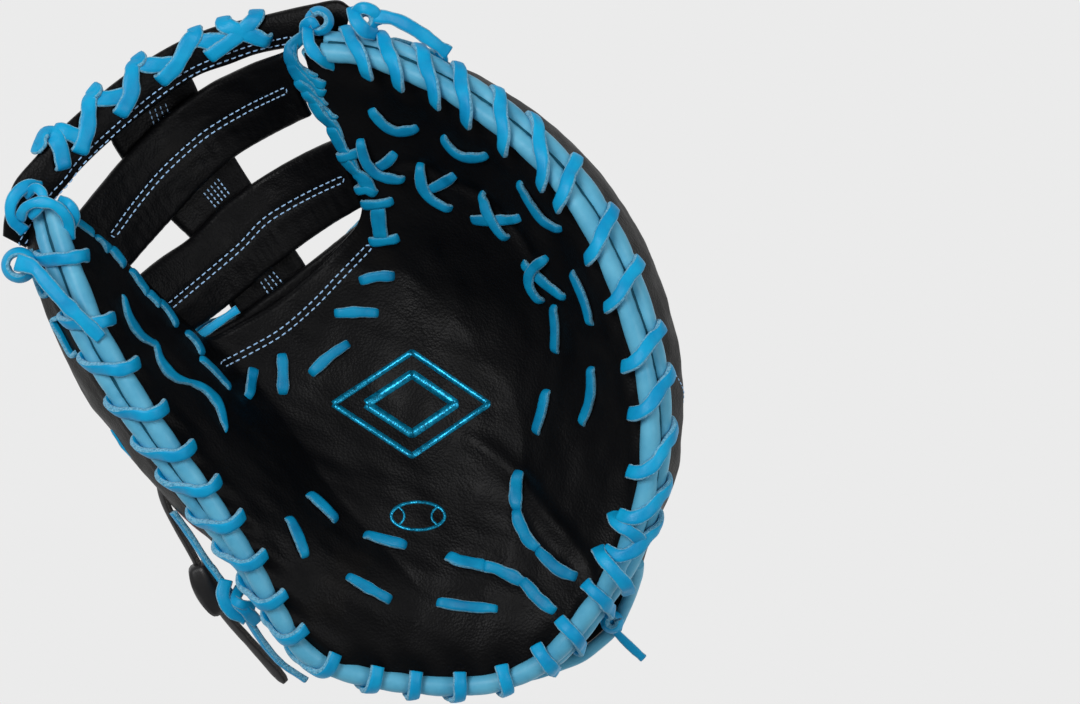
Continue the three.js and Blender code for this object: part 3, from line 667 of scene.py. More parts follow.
def foil():
    """Stamped blue foil that has begun to wear into the grain."""
    material, tree, shader = new_material("blue_foil", 0.32, 0.5)
    shader.inputs["Metallic"].default_value = 0.65
    worn = noise(tree, 420, 6, 0.7)
    paint(tree, shader, worn, (0.3, (0.0, 0.05, 0.09)), (0.5, (0.0, 0.24, 0.42)), (0.8, (0.02, 0.42, 0.66)))
    bump(tree, shader, (cells(tree, 900), 0.4, 0.00025))
    return material


BLACK = leather(
    "black_leather", (0.0012, 0.0012, 0.0016), (0.0022, 0.0022, 0.0026), (0.006, 0.0052, 0.0045),
    rough=(0.4, 0.58), specular=0.105, grain=0.6,
)
BLACK_BACK = leather(
    "black_back_leather", (0.0022, 0.0021, 0.0021), (0.0045, 0.0042, 0.004), (0.010, 0.0085, 0.0075),
    specular=0.13, grain=0.6,
)
ROLL = satin_leather("rolled_binding", (0.06, 0.31, 0.49), (0.12, 0.43, 0.61), specular=0.25)
# The fold between the two rolls: a dark blue that paints the fold's shade, not a colour of its own
ROLL_FOLD_PAINTED_SHADE = satin_leather("rolled_binding_fold_painted_shade", (0.004, 0.05, 0.085), (0.01, 0.09, 0.14), specular=0.1)
BLUE = satin_leather("blue_lace", (0.0, 0.24, 0.50), (0.004, 0.36, 0.65), specular=0.2, grain=0.35)
BLUE_RAW = raw_edge("blue_lace_edge", (0.02, 0.26, 0.46), (0.2, 0.55, 0.76))
# Darker copies of the lace and edge colours for the laces in the palm's pocket: painted shade of the pocket
PALM_LACE_PAINTED_SHADE = satin_leather("palm_lace_painted_shade", (0.0, 0.15, 0.32), (0.002, 0.26, 0.48), specular=0.15, grain=0.35)
PALM_LACE_EDGE_PAINTED_SHADE = raw_edge("palm_lace_edge_painted_shade", (0.01, 0.18, 0.33), (0.1, 0.4, 0.6))
THREAD = fibrous(
    "pale_blue_thread", (0.55, 0.3, 0.4), (1500, 3), [(0.3, (0.22, 0.42, 0.72)), (0.7, (0.42, 0.66, 0.93))],
    ((2500, 3, 0.5, (1, 0.3, 1)), 0.5, 0.0002),
)
BLACK_LACE = satin_leather("black_lace", (0.008, 0.008, 0.009), (0.016, 0.015, 0.015))
BLACK_RAW = raw_edge("black_lace_edge", (0.02, 0.018, 0.017), (0.05, 0.043, 0.038))
RED = woven("red_patch", (0.42, 0.004, 0.016), (0.66, 0.012, 0.04))
WHITE_THREAD = woven("white_thread", (0.6, 0.6, 0.6), (0.85, 0.85, 0.85))
BLACK_THREAD = woven("black_thread", (0.01, 0.01, 0.01), (0.03, 0.03, 0.03))
LINING = fibrous(
    "lining", (0.95, 0.05, 0.5), (500, 6, 0.7), [(0.3, (0.006, 0.006, 0.006)), (0.7, (0.022, 0.02, 0.02))],
    ((700, 6, 0.75), 1.0, 0.0016),
)
FOIL = foil()


# Relief on the palm: soft swells and creases that the photograph shows

WAVES = 14
WAVES_HEIGHT = 3.2  # what their sum is divided by


def sines(points, length, seed):
    """A smooth irregular field over places, of about unit height."""
    draw = random.Random(seed)
    total = np.zeros(len(points))
    for _ in range(WAVES):
        turn = draw.uniform(0, 2 * math.pi)
        size = 2 * math.pi / (length * draw.uniform(0.6, 1.7))
        wave = points[:, 0] * math.cos(turn) * size + points[:, 1] * math.sin(turn) * size
        total += np.sin(wave + points[:, 2] * size * 0.6 + draw.uniform(0, 6.3))
    return total / WAVES_HEIGHT


def swell(flat, x, y, wide, tall, turn, height):
    """A soft mound around a pixel of the photograph. Sizes are in pixels."""
    a = math.radians(turn)
    dx, dy = flat[:, 0] - x, flat[:, 1] - y
    p = (dx * math.cos(a) + dy * math.sin(a)) / wide
    q = (-dx * math.sin(a) + dy * math.cos(a)) / tall
    return height * np.exp(-(p * p + q * q))


def distance_to(flat, points):
    """How far places lie from a path, in pixels, and where along it the nearest place is."""
    path = spline(np.asarray(points, float), count=80)
    d = np.sum((flat[:, None] - path[None]) ** 2, axis=2)
    nearest = np.argmin(d, axis=1)
    return np.sqrt(d[np.arange(len(flat)), nearest]), nearest / (len(path) - 1)


def crease(flat, points, width, depth):
    """A groove along pixels of the photograph, which fades at its ends."""
    distance, share = distance_to(flat, points)
    return -depth * np.exp(-(distance / width) ** 2) * np.sin(np.pi * np.clip(share, 0.02, 0.98)) ** 0.4


# The palm: a closed shell of fine rows that tucks in under the rolls

PALM_COLUMNS = 190
PALM_ROWS = 170
TUCK = 0.013  # the share of the palm that lies under the rolls

# Rim lace crossings in the photograph: outer end x, y and inner end x, y, in pixels
CROSSINGS = [
    (34, 253, 79, 259), (76, 308, 118, 316), (73, 361, 133, 364), (101, 406, 161, 408),
    (131, 444, 189, 446), (158, 476, 216, 480), (188, 516, 242, 512), (212, 549, 265, 549),
    (235, 584, 286, 585), (258, 619, 306, 619), (275, 654, 337, 639), (356, 675, 379, 653),
    (404, 689, 418, 657), (441, 695, 462, 660), (493, 692, 504, 657), (551, 681, 537, 637),
    (574, 657, 558, 612), (605, 621, 581, 575), (656, 520, 612, 548), (672, 484, 614, 509),
    (677, 427, 630, 469), (672, 372, 635, 412), (663, 328, 630, 365), (642, 261, 619, 303),
    (614, 209, 598, 255), (581, 156, 566, 201), (533, 111, 549, 179), (497, 86, 510, 144),
    (456, 64, 472, 117), (416, 47, 440, 99), (377, 35, 402, 82), (343, 29, 370, 73),
]
# Laces that run along the rim where the two rim laces meet: from x, y to x, y
LONGWAYS = [(617, 522, 638, 538), (602, 557, 626, 585)]

# Soft mounds of the palm's padding: x, y, half width, half height, turn, height in mm
MOUNDS = [
    (400, 590, 120, 46, 12, 4.2), (300, 520, 60, 90, -28, 2.2), (566, 470, 46, 96, -8, 4.6),
    (500, 300, 70, 60, 40, 1.4), (240, 470, 34, 90, -32, 1.6), (600, 330, 26, 80, -14, 1.6),
    (420, 430, 150, 90, 20, -2.4),
]
# Creases: pixels of the photograph, then half width in pixels and depth in mm
CREASES = [
    ([(604, 606), (585, 560), (548, 515), (510, 470), (470, 440)], 10, 3.4),
    ([(393, 165), (414, 165), (455, 184), (477, 194), (513, 228), (525, 242), (545, 280), (560, 330)],
     5, 1.5),
    ([(447, 555), (485, 566), (524, 584), (555, 612)], 6, 1.4),
    ([(522, 470), (516, 511), (540, 550), (581, 578)], 6, 1.4),
    ([(232, 384), (280, 430), (330, 455), (400, 470)], 14, 1.2),
    ([(125, 300), (156, 346), (189, 384), (225, 426)], 5, 0.8),
]
# Irregular waves of the palm's leather: height in mm, length in mm, seed
PALM_WAVES = [(0.5, 46, 3), (0.22, 17, 5)]
# By the rim: how far the laces pull the leather in and the padding puffs it out, and how far
# from the rim they do so, in mm
LACE_PULL, PULL_AWAY = 0.9, 9
PUFF, PUFF_AWAY = 1.1, 16
BY_RIM = 8
PALM_EASE = 0.35
WEB_EDGE_FROM = 0.985  # the share along from which the palm thins to its edge at the web
WEB_EDGE_DROP = 1.3
WEB_EDGE_THIN = 0.8


def crossing_places():
    """Each crossing's outer and inner distance along the rim, in millimetres."""
    marks = np.linspace(0, RIM_LENGTH, 1400)
    seen = pixels_of(Rim(marks).p)
    ends = np.array(CROSSINGS, float).reshape(-1, 2, 2)
    away = np.sum((seen[None, None] - ends[:, :, None]) ** 2, axis=3)
    return marks[np.argmin(away, axis=2)]


crossing_marks = crossing_places()
outer_marks, inner_marks = (np.sort(marks) for marks in crossing_marks.T)


def pull(mark, laces):
    """How far a place along the rim is drawn in by the laces: 1 at a lace and -1 between two."""
    return np.cos(2 * math.pi * np.interp(mark, laces, np.arange(len(laces))))


def palm_relief(u, v, points):
    """How far the palm stands out at its places, in mm."""
    flat = pixels_of(points)
    relief = sum(swell(flat, *row) for row in MOUNDS)
    relief += sum(crease(flat, *row) for row in CREASES)
    relief += sum(height * sines(points, length, seed) for height, length, seed in PALM_WAVES)
    edges = [
        ((np.zeros_like(u), v), thumb_side.length * (1 - v)),
        ((u, np.zeros_like(v)), thumb_side.length + heel_side.length * u),
        ((np.ones_like(u), v), thumb_side.length + heel_side.length + finger_side.length * v),
    ]
    fade = smoothstep(1 - v, 0.0, 0.12)
    for (a, b), mark in edges:
        away = np.linalg.norm(middle(a, b) - middle(u, v), axis=-1)
        pulled = np.exp(-((away - PULL_AWAY) / BY_RIM) ** 2)
        relief -= LACE_PULL * pull(mark, inner_marks) * pulled * fade
        relief += PUFF * np.exp(-((away - PUFF_AWAY) / BY_RIM) ** 2) * fade
    return relief


def eased(t, share):
    """Shares that lie closer at both ends, by a share of a full ease."""
    return lerp(t, t * t * (3 - 2 * t), share)


def palm_surface():
    j, i = share_grid(PALM_ROWS, PALM_COLUMNS)
    u = lerp(TUCK, 1 - TUCK, eased(i, PALM_EASE))
    v = lerp(TUCK, 1, eased(j, PALM_EASE))
    outer = in_mitt(u, v, np.zeros_like(u))
    relief = palm_relief(u.ravel(), v.ravel(), outer.reshape(-1, 3)).reshape(u.shape)
    out = out_of_palm(u, v)
    web_edge = smoothstep(v, WEB_EDGE_FROM, 1.0)[..., None]
    outer = outer + out * relief[..., None] - out * WEB_EDGE_DROP * web_edge
    inner = in_mitt(u, v, padding(u, v) - WEB_EDGE_THIN * web_edge[..., 0])
    return outer, inner


palm_outer, palm_inner = palm_surface()
palm_sheet = Sheet(palm_outer)
points, faces = shell(palm_outer, palm_inner)
lined = (PALM_ROWS - 1) * (PALM_COLUMNS - 1)
palm_looks = np.zeros(len(faces), int)
palm_looks[lined:2 * lined] = 1
palm = piece("palm_leather", points, faces, [BLACK, LINING], ["palm_shell"], palm_looks)


# The rolled edges and the lace that is whipped round them

ROLL_STEP = 1.0
ROLL_SIDES = 18
ROLL_ENDS = (1.5, 9)  # how far from the rim's two ends a roll begins and ends, in mm
SEAM_ENDS = (3, 11)
# A roll's size between two laces and under one, as shares of its radius, and its wrinkles there
ROLL_FULL = 1.06
ROLL_NIP = 0.05
ROLL_WRINKLE = 0.022
ROLL_WAVER = 0.25  # how far it wanders, in mm
SEAM_RISE = 1.5  # how high the fold between the rolls lies, and the half sizes of the dark tube that fills it with painted shade
SEAM_SIZE = [1.5, 1.0]


def rim_roll(name, side, node):
    """One rolled edge: it swells between the laces and is nipped where they cross it."""
    marks = np.arange(ROLL_ENDS[0], RIM_LENGTH - ROLL_ENDS[1], ROLL_STEP)
    rim = Rim(marks)
    nip = pull(marks, outer_marks if side > 0 else inner_marks)
    radius = ROLL_RADIUS * (ROLL_FULL - ROLL_NIP * nip)
    waver = ROLL_WAVER * sines(rim.p, 40, 11 + side)
    path = rim.place(np.full(len(marks), side * ROLL_PITCH / 2), waver)
    folds = np.sin(marks * 0.9 + 2 * np.sin(marks * 0.13))[:, None]
    wrinkle = 1 + ROLL_WRINKLE * folds * (nip[:, None] > 0.2)
    size = radius[:, None] * wrinkle * np.ones((1, ROLL_SIDES))
    points, faces = sweep(circle(ROLL_SIDES)[None] * size[..., None], path, rim.up)
    piece(name, points, faces, [ROLL], [node])


rim_roll("palm_rolled_edge", -1, "palm_rim_roll")
rim_roll("back_rolled_edge", 1, "back_rim_roll")


def paint_roll_fold_shade():
    """A dark blue tube in the fold between the two rolled edges: painted shade of the fold."""
    marks = np.arange(SEAM_ENDS[0], RIM_LENGTH - SEAM_ENDS[1], 2 * ROLL_STEP)
    rim = Rim(marks)
    path = rim.place(np.zeros(len(marks)), np.full(len(marks), SEAM_RISE))
    points, faces = sweep(circle(8) * SEAM_SIZE, path, rim.up)
    piece("rolled_edge_fold_painted_shade", points, faces, [ROLL_FOLD_PAINTED_SHADE])


paint_roll_fold_shade()

# A lace's way over the rolls, from the outer side: share of the way, towards the back, up
OVER_ROLLS = [
    (0.0, 10.2, -8.5), (0.06, 10.8, -3.5), (0.14, 10.2, 1.2), (0.27, 7.6, 4.6), (0.4, 4.3, 5.6),
    (0.5, 0.0, 5.3), (0.6, -4.3, 5.6), (0.73, -7.8, 4.6), (0.86, -10.4, 1.4), (0.94, -10.8, -2.6),
    (1.0, -9.2, -7.0),
]
LACE_HEART = -2.0  # the height that the lace's face looks away from
LACE_LEAN = 0.34  # how far the laces roll over, so that their raw edge shows
RIM_LACE_THICK = 2.7
HEEL_CROSSING = 11  # the first crossing at the heel
FINGER_CROSSING = 18  # the first crossing of the finger side's lace
THUMB_BOW, HEEL_BOW, FINGER_BOW = 1.4, 0.8, 3.2  # how far a crossing bends along the rim, in mm


def over_rolls(outer, inner, bow):
    """Points of a lace that crosses the rim between two distances along it, and its outward ways."""
    share, back, up = (np.array(column) for column in zip(*OVER_ROLLS))
    marks = lerp(outer, inner, smoothstep(share, 0.02, 0.98)) + bow * np.sin(np.pi * share)
    rim = Rim(marks)
    points = rim.place(back, up)
    ways = rim.to_back * back[:, None] + rim.up * (up - LACE_HEART)[:, None]
    return points, unit(unit(ways) + rim.along * LACE_LEAN)


def rim_laces():
    thumb = Bundle()
    finger = Bundle()
    for k, (outer, inner) in enumerate(crossing_marks):
        on_thumb = k < FINGER_CROSSING
        bow = THUMB_BOW if k < HEEL_CROSSING else HEEL_BOW if on_thumb else FINGER_BOW
        points, ways = over_rolls(outer, inner, bow)
        lace(thumb if on_thumb else finger, points, ways, thick=RIM_LACE_THICK)
    thumb.piece("thumb_side_rim_lacing", "blue_lace", [BLUE, BLUE_RAW], ["thumb_side_rim_lace"])
    finger.piece("finger_side_rim_lacing", "blue_lace", [BLUE, BLUE_RAW], ["finger_side_rim_lace"])


rim_laces()


# Laces laid on a surface, or free in the air, by pixels of the photograph

def lay(sheet, pixels, lift, spacing=8.0):
    """A path of pixels laid on a surface: its places and the ways out of it."""
    path = Way(spline(pixels, count=80))
    count = max(int(path.length / spacing) + 1, 3)
    seen = [sheet.seen(*path(share)) for share in np.linspace(0, 1, count)]
    places = np.array([place for place, _ in seen])
    ways = unit(np.array([way for _, way in seen]))
    return places + ways * lift, ways


DIVE = 1.2  # how far on a lace goes while it dives into the leather
DIVE_TURN = 0.6  # and how far its face turns where it starts to
STITCH_TAPER = ([0, 0.12, 0.28, 0.72, 0.88, 1], [0.5, 0.8, 1.0, 1.0, 0.8, 0.5])


def stitch_down(bundle, sheet, pixels, width=5.1, lift=1.3, sink=4.0, taper=STITCH_TAPER):
    """A lace that comes out of the leather, lies on it and goes in again."""
    points, ways = lay(sheet, pixels, 0)
    arch = 0.45 + 0.55 * np.sqrt(np.sin(np.linspace(0.02, 0.98, len(points)) * math.pi))
    points = points + ways * lift * arch[:, None]
    first = unit(points[0] - points[1])
    last = unit(points[-1] - points[-2])
    start = points[0] - ways[0] * sink + first * DIVE
    end = points[-1] - ways[-1] * sink + last * DIVE
    turned = [unit(ways[0] + first * DIVE_TURN), *ways[1:-1], unit(ways[-1] + last * DIVE_TURN)]
    lace(bundle, np.vstack([start, points, end]), np.vstack([first, *turned, last]), width, LACE_THICK, taper)


def trimmed(pixels, share):
    """A path without a share of its length at each end."""
    return Way(spline(pixels, count=60))(np.linspace(share, 1 - share, 4))


def ring_about(axis, hint, angles):
    """The ways from an axis to the points of a circle round it."""
    side = unit(np.cross(axis, hint))
    other = np.cross(axis, side)
    return side * np.cos(angles)[:, None] + other * np.sin(angles)[:, None]


def strand(bundle, rows, width=LACE_WIDTH, thick=LACE_THICK, up=(0.0, 0.0, 1.0), taper=None):
    """A lace through pixels of the photograph at given heights."""
    points = np.array([at_height(x, y, z) for x, y, z in rows])
    lace(bundle, points, np.tile(up, (len(points), 1)), width, thick, taper)


def coil(bundle, x, y, z, radius, start):
    """A lace wound round a place: the loops that a knot shows."""
    axis = np.array([0.0, 0.0, 1.0])
    count = int(14 * COIL_TURNS)
    ring = ring_about(axis, [0.3, 1, 0.1], start + np.linspace(0, 2 * math.pi * COIL_TURNS, count))
    climb = np.linspace(-COIL_RISE / 2, COIL_RISE / 2, count)[:, None] * axis
    path = at_height(x, y, z) + ring * radius * MM_PER_PIXEL + climb
    lace(bundle, path, ring + axis * 0.65, COIL_WIDTH, LACE_THICK * 1.15)


# The web: bars and post on its sheet, ruled between two edges in the photograph

WEB_COLUMNS = 61
WEB_ROWS = 41


def web_grid():
    """The web's sheet, which goes straight on past its upper and lower edge."""
    j, i = share_grid(WEB_ROWS, WEB_COLUMNS, -0.15, 1.2)
    slope = (in_web(i, np.ones_like(j)) - in_web(i, np.full_like(j, 0.9))) / 0.1
    start = (in_web(i, np.full_like(j, 0.1)) - in_web(i, np.zeros_like(j))) / 0.1
    p = in_web(i, np.clip(j, 0, 1))
    return p + slope * np.maximum(j - 1, 0)[..., None] + start * np.minimum(j, 0)[..., None]


web_sheet = Sheet(web_grid())

# Each bar: its two edges and its line of double stitching, in pixels from thumb to finger
BAR_EDGES = {
    "web_bar_top": (
        [(66, 228), (79, 216), (100, 190), (129, 156), (160, 124), (195, 96), (240, 72), (283, 55)],
        [(112, 286), (130, 269), (152, 243), (176, 216), (205, 184), (235, 158), (270, 137), (309, 118)],
        [(114, 234), (136, 204), (161, 174), (185, 151), (207, 133), (245, 110), (284, 91)],
    ),
    "web_bar_middle": (
        [(128, 290), (140, 278), (166, 257), (195, 236), (222, 208), (252, 185), (292, 161), (335, 141)],
        [(170, 352), (185, 339), (210, 321), (233, 303), (262, 277), (295, 251), (328, 228), (364, 207)],
        [(170, 306), (206, 276), (241, 246), (264, 222), (287, 207), (315, 192), (341, 180)],
    ),
    "web_bar_bottom": (
        [(176, 352), (190, 342), (215, 331), (240, 317), (272, 293), (306, 267), (336, 244), (369, 219)],
        [(204, 386), (216, 391), (240, 386), (264, 372), (300, 350), (336, 312), (360, 276), (380, 236)],
        [(222, 363), (247, 349), (280, 330), (312, 303), (340, 275), (367, 247)],
    ),
}
POST_EDGES = (
    [(98, 104), (118, 138), (129, 156), (150, 184), (176, 216), (195, 236), (214, 262), (236, 310),
     (250, 345)],
    [(176, 56), (193, 85), (205, 110), (235, 158), (252, 185), (275, 218), (295, 251), (306, 267),
     (330, 306)],
)
BAR_THICK = 3.6
POST_THICK = 3.2
POST_DROP = 5.2  # how far the post lies behind the bars' face
POST_BACK_ROWS = [0.36, 0.45, 0.54, 0.63]  # rows of stitches on its back, by shares of its width
SHORT_STITCH = {"length": 1.5, "gap": 0.9}
# The post's short rows of stitches: the ends of each block's first and last row, and how many rows
POST_STITCHES = [
    ((149, 110), (155, 128), (165, 103), (170, 118), 4),
    ((203, 192), (219, 211), (217, 178), (233, 199), 5),
    ((260, 281), (270, 296), (272, 271), (287, 288), 4),
]


def rounded(share, width):
    """How far a section's edge has rounded off: 0 inside and 1 at its very edge."""
    near = np.clip(1 - np.minimum(share, 1 - share) / width, 0, 1)
    return 1 - np.sqrt(1 - near**2)


ROW_FROM_MIDDLE = 3.1  # pixels between one of two rows of stitches and the line between them
STRAP_COLUMNS = 110
STRAP_ROWS = 34
GROOVE_HALF = 5.0  # half width of the groove along a seam, and of the ridge beside it, in pixels
GROOVE_DEPTH = 0.55
RIDGE_RISE = 0.25
RIDGE_AWAY = 9
STRAP_WAVES = [(0.3, 30), (0.1, 9)]  # height and length of its irregular waves, in mm


def leather_strap(top, low, thick, seed, drop=0.0, crown=0.8, grooves=(), wrinkle=0.0):
    """The outer and inner grid of a strap on the web's sheet, between two edges in pixels."""
    first, last = Way(spline(top, count=120)), Way(spline(low, count=120))
    t, share = share_grid(STRAP_ROWS, STRAP_COLUMNS)
    outer = np.zeros((*t.shape, 3))
    out = np.zeros_like(outer)
    for j, i in np.ndindex(t.shape):
        outer[j, i], out[j, i] = web_sheet.seen(*lerp(first(share[j, i]), last(share[j, i]), t[j, i]))
    round_off = np.maximum(rounded(t, 0.08), rounded(share, 0.02))
    height = crown * np.sin(np.pi * t) - drop - 0.45 * thick * round_off
    flat = pixels_of(outer.reshape(-1, 3))
    for path in grooves:
        distance, _ = distance_to(flat, path)
        distance = distance.reshape(t.shape)
        height = height - GROOVE_DEPTH * np.exp(-(distance / GROOVE_HALF) ** 2)
        height = height + RIDGE_RISE * np.exp(-((distance - RIDGE_AWAY) / GROOVE_HALF) ** 2)
    places = outer.reshape(-1, 3)
    bumps = sum(size * sines(places, length, seed + k) for k, (size, length) in enumerate(STRAP_WAVES))
    ribs = wrinkle * np.sin(share * 150 + 3 * np.sin(share * 23)) * smoothstep(t, 0.5, 0.7)
    height = height + bumps.reshape(t.shape) + ribs
    outer = outer + out * height[..., None]
    inner = outer - out * (thick * (1 - 0.5 * round_off))[..., None]
    inner[..., 2] = np.maximum(inner[..., 2], THREAD_DEPTH)
    return outer, inner


def left_of(run):
    """The ways square to level directions."""
    return np.stack([-run[:, 1], run[:, 0]], axis=1)


def stitch_loop(bundle, sheet, path):
    """Two rows of stitches side by side that turn round into each other at their ends."""
    half = ROW_FROM_MIDDLE
    way = Way(spline(path, count=80))
    centre = way(np.linspace(0, 1, 40))
    run = along_path(centre)
    side = left_of(run)
    turn = np.linspace(-math.pi / 2, math.pi / 2, 5)[1:-1]
    loop = list(centre + side * half)
    loop += [centre[-1] + half * (math.cos(a) * run[-1] - math.sin(a) * side[-1]) for a in turn]
    loop += list((centre - side * half)[::-1])
    loop += [centre[0] + half * (math.sin(a) * side[0] - math.cos(a) * run[0]) for a in turn]
    loop.append(loop[0])
    rows = [sheet.seen(*pixel) for pixel in loop]
    dashes(bundle, [place for place, _ in rows], [way_out for _, way_out in rows])


def row_of_stitches(bundle, sheet, path, **sizes):
    points, ways = lay(sheet, path, 0.0, 5.0)
    dashes(bundle, points, ways, **sizes)


def strap_piece(name, node, outer, inner):
    """A black leather piece between two grids, in the place of a solid."""
    points, faces = shell(outer, inner)
    piece(name, points, faces, [BLACK], [node])


def web():
    threads = Bundle()
    for seed, (node, (top, low, seam)) in enumerate(BAR_EDGES.items()):
        outer, inner = leather_strap(top, low, BAR_THICK, 20 + 3 * seed, grooves=[seam], wrinkle=0.12)
        strap_piece(node + "_leather", node, outer, inner)
        stitch_loop(threads, Sheet(outer), seam)
        stitch_loop(threads, Underside(inner), seam)
    outer, inner = leather_strap(*POST_EDGES, POST_THICK, 41, drop=POST_DROP, crown=0.2)
    strap_piece("web_post_leather", "web_post", outer, inner)
    sheet = Sheet(outer)
    for *corners, count in POST_STITCHES:
        a, b, c, d = (np.array(corner) for corner in corners)
        for share in np.linspace(0, 1, count):
            ends = [lerp(a, c, share), lerp(b, d, share)]
            row = [ends[0], (ends[0] + ends[1]) / 2, ends[1]]
            row_of_stitches(threads, sheet, row, **SHORT_STITCH)
    edges = [Way(spline(edge, count=120)) for edge in POST_EDGES]
    for share in POST_BACK_ROWS:
        middles = [lerp(edges[0](k), edges[1](k), share) for k in np.linspace(0.04, 0.94, 7)]
        row_of_stitches(threads, Underside(inner), middles)
    threads.piece("web_stitching", "blue_lace", [THREAD])


web()

# The crest: its outer and inner edge in pixels, and its height along the way
CREST_OUTER = [(3, 236), (4, 222), (8, 203), (14, 184), (37, 156), (67, 124), (110, 87), (156, 55), (207, 30),
               (264, 16), (312, 5), (340, 1), (351, 8)]
CREST_INNER = [(26, 248), (40, 222), (57, 197), (80, 170), (117, 135), (161, 101), (197, 76), (230, 64),
               (257, 54), (292, 47), (320, 42), (345, 36)]
CREST_SHARES = [0, 0.08, 0.15, 0.27, 0.42, 0.55, 0.67, 0.79, 0.9, 1]
CREST_HEIGHTS = [56, 62, 64, 61, 54, 49.5, 48, 50, 57, 62]
CREST_THICK = 7.0
CREST_COLUMNS = 150
CREST_ROWS = 34
CREST_LACE_WIDTH = 7.4
CREST_BAND_WIDTH = 7.2
# Its section in mm: how high it bulges, how far it falls to the inner edge, and how high it starts
CREST_BULGE, CREST_FALL, CREST_START = 3.2, 6.0, 3.0
CREST_WAVES = (0.3, 26, 61)  # height and length of irregular waves, and their seed
SEAM_GROOVE = (4.0, 0.5)  # half width in pixels and depth in mm of grooves, under the seam
WRAP_GROOVE = (9.0, 0.7)  # and under the laces
WEB_MIDDLE = (250, 200)  # the pixel that the crest's laces start away from
# Where such a lace starts: how far out of the edge and under it, in mm
WRAP_STARTS = [(2.6, 7.5), (2.4, 3.0)]
WRAP_SINK = 5.5
CREST_SEAM = [(22, 243), (33, 226), (52, 197), (66, 182), (80, 163), (117, 128), (158, 94), (195, 70),
              (230, 56), (257, 47), (290, 40)]
# The crest's lace: turns that come round its outer edge, and bands between them
CREST_WRAPS = [
    [(43, 149), (46, 137), (53, 134), (59, 147), (62, 166)],
    [(98, 95), (91, 103), (88, 116), (86, 130), (79, 150)],
    [(142, 64), (134, 70), (131, 81), (130, 94), (120, 112)],
    [(197, 36), (188, 44), (182, 54), (176, 64), (161, 79)],
    [(257, 19), (248, 26), (241, 32), (231, 40), (210, 54)],
    [(225, 26), (236, 29), (250, 34), (268, 39)],
]
CREST_BANDS = [
    [(56, 130), (68, 133), (82, 139)], [(91, 100), (108, 99), (127, 94)],
    [(138, 67), (155, 65), (173, 63)], [(192, 41), (208, 41), (227, 40)],
]


def over_the_edge(bundle, sheet, path):
    """A lace on the crest that starts under its outer edge and ends in the leather."""
    points, ways = lay(sheet, path, 2.0, 7.0)
    outward = unit((points[0] - at_height(*WEB_MIDDLE, points[0][2])) * [1, 1, 0])
    before = [points[0] + outward * out - [0, 0, under] for out, under in WRAP_STARTS]
    last = unit(points[-1] - points[-2])
    points = np.vstack([before, points, points[-1] - ways[-1] * WRAP_SINK + last * DIVE])
    ups = [outward, unit(outward + ways[0] * DIVE_TURN)]
    ways = np.vstack([ups, ways[:-1], unit(ways[-1] + last * DIVE_TURN), last])
    lace(bundle, points, ways, CREST_LACE_WIDTH)


def crest():
    first, last = Way(spline(CREST_OUTER, count=160)), Way(spline(CREST_INNER, count=160))
    t, share = share_grid(CREST_ROWS, CREST_COLUMNS)
    bulge = CREST_BULGE * np.sin(np.pi * t) ** 0.5
    z = between(CREST_SHARES, CREST_HEIGHTS, share) + bulge - CREST_FALL * t + CREST_START
    outer = np.zeros((*t.shape, 3))
    for j, i in np.ndindex(t.shape):
        outer[j, i] = at_height(*lerp(first(share[j, i]), last(share[j, i]), t[j, i]), z[j, i])
    flat = pixels_of(outer.reshape(-1, 3))
    height, length, seed = CREST_WAVES
    dent = height * sines(outer.reshape(-1, 3), length, seed)
    for path, (half, depth) in [(CREST_SEAM, SEAM_GROOVE), *((wrap, WRAP_GROOVE) for wrap in CREST_WRAPS)]:
        distance, _ = distance_to(flat, path)
        dent = dent - depth * np.exp(-(distance / half) ** 2)
    outer[..., 2] += dent.reshape(t.shape)
    inner = outer - np.array([0, -0.25, 1.0]) * (CREST_THICK * (1 - 0.7 * rounded(t, 0.15)))[..., None]
    strap_piece("web_crest_leather", "web_crest", outer, inner)
    sheet = Sheet(outer)
    laces = Bundle()
    for path in CREST_BANDS:
        stitch_down(laces, sheet, path, width=CREST_BAND_WIDTH, lift=1.0)
    for path in CREST_WRAPS:
        over_the_edge(laces, sheet, path)
    laces.piece("web_crest_lacing", "blue_lace", [BLUE, BLUE_RAW])
    threads = Bundle()
    stitch_loop(threads, sheet, CREST_SEAM)
    threads.piece("web_crest_stitching", "blue_lace", [THREAD])


crest()

# Stitches of lace on the palm, in pixels of the photograph
PALM_STITCHES = [
    [(373, 111), (385, 124), (398, 130), (415, 128)], [(445, 138), (455, 150), (468, 156), (485, 155)],
    [(521, 184), (533, 204), (545, 220), (559, 228)], [(574, 274), (582, 290), (588, 306), (591, 322)],
    [(592, 370), (593, 388), (590, 405), (583, 422)], [(555, 308), (557, 330), (556, 350)],
    [(547, 393), (543, 413), (537, 431)], [(363, 280), (377, 276), (391, 276)],
    [(338, 313), (356, 312), (375, 313)], [(346, 345), (330, 356), (313, 372)],
    [(282, 357), (283, 374), (283, 391)], [(253, 371), (250, 383), (248, 395)],
    [(289, 520), (297, 537), (304, 554)], [(310, 496), (322, 507), (334, 519)],
    [(367, 536), (385, 541), (403, 545)], [(350, 578), (369, 589), (388, 599)],
    [(440, 603), (467, 607), (494, 609)],
]
# Crossed laces, the lower and the upper one, and how high each of them lies in mm
CROSS_UNDER, CROSS_OVER = 1.0, 2.6
PALM_CROSSES = [
    ([(393, 155), (387, 161), (379, 166)], [(361, 142), (366, 159), (378, 172), (401, 178)]),
    ([(453, 176), (443, 183), (431, 188)], [(421, 166), (423, 182), (433, 196), (449, 207)]),
    ([(474, 219), (495, 220), (518, 218)], [(484, 194), (488, 209), (497, 224), (506, 236)]),
    ([(525, 264), (543, 280), (563, 296)], [(545, 259), (533, 270), (533, 285), (541, 299)]),
]
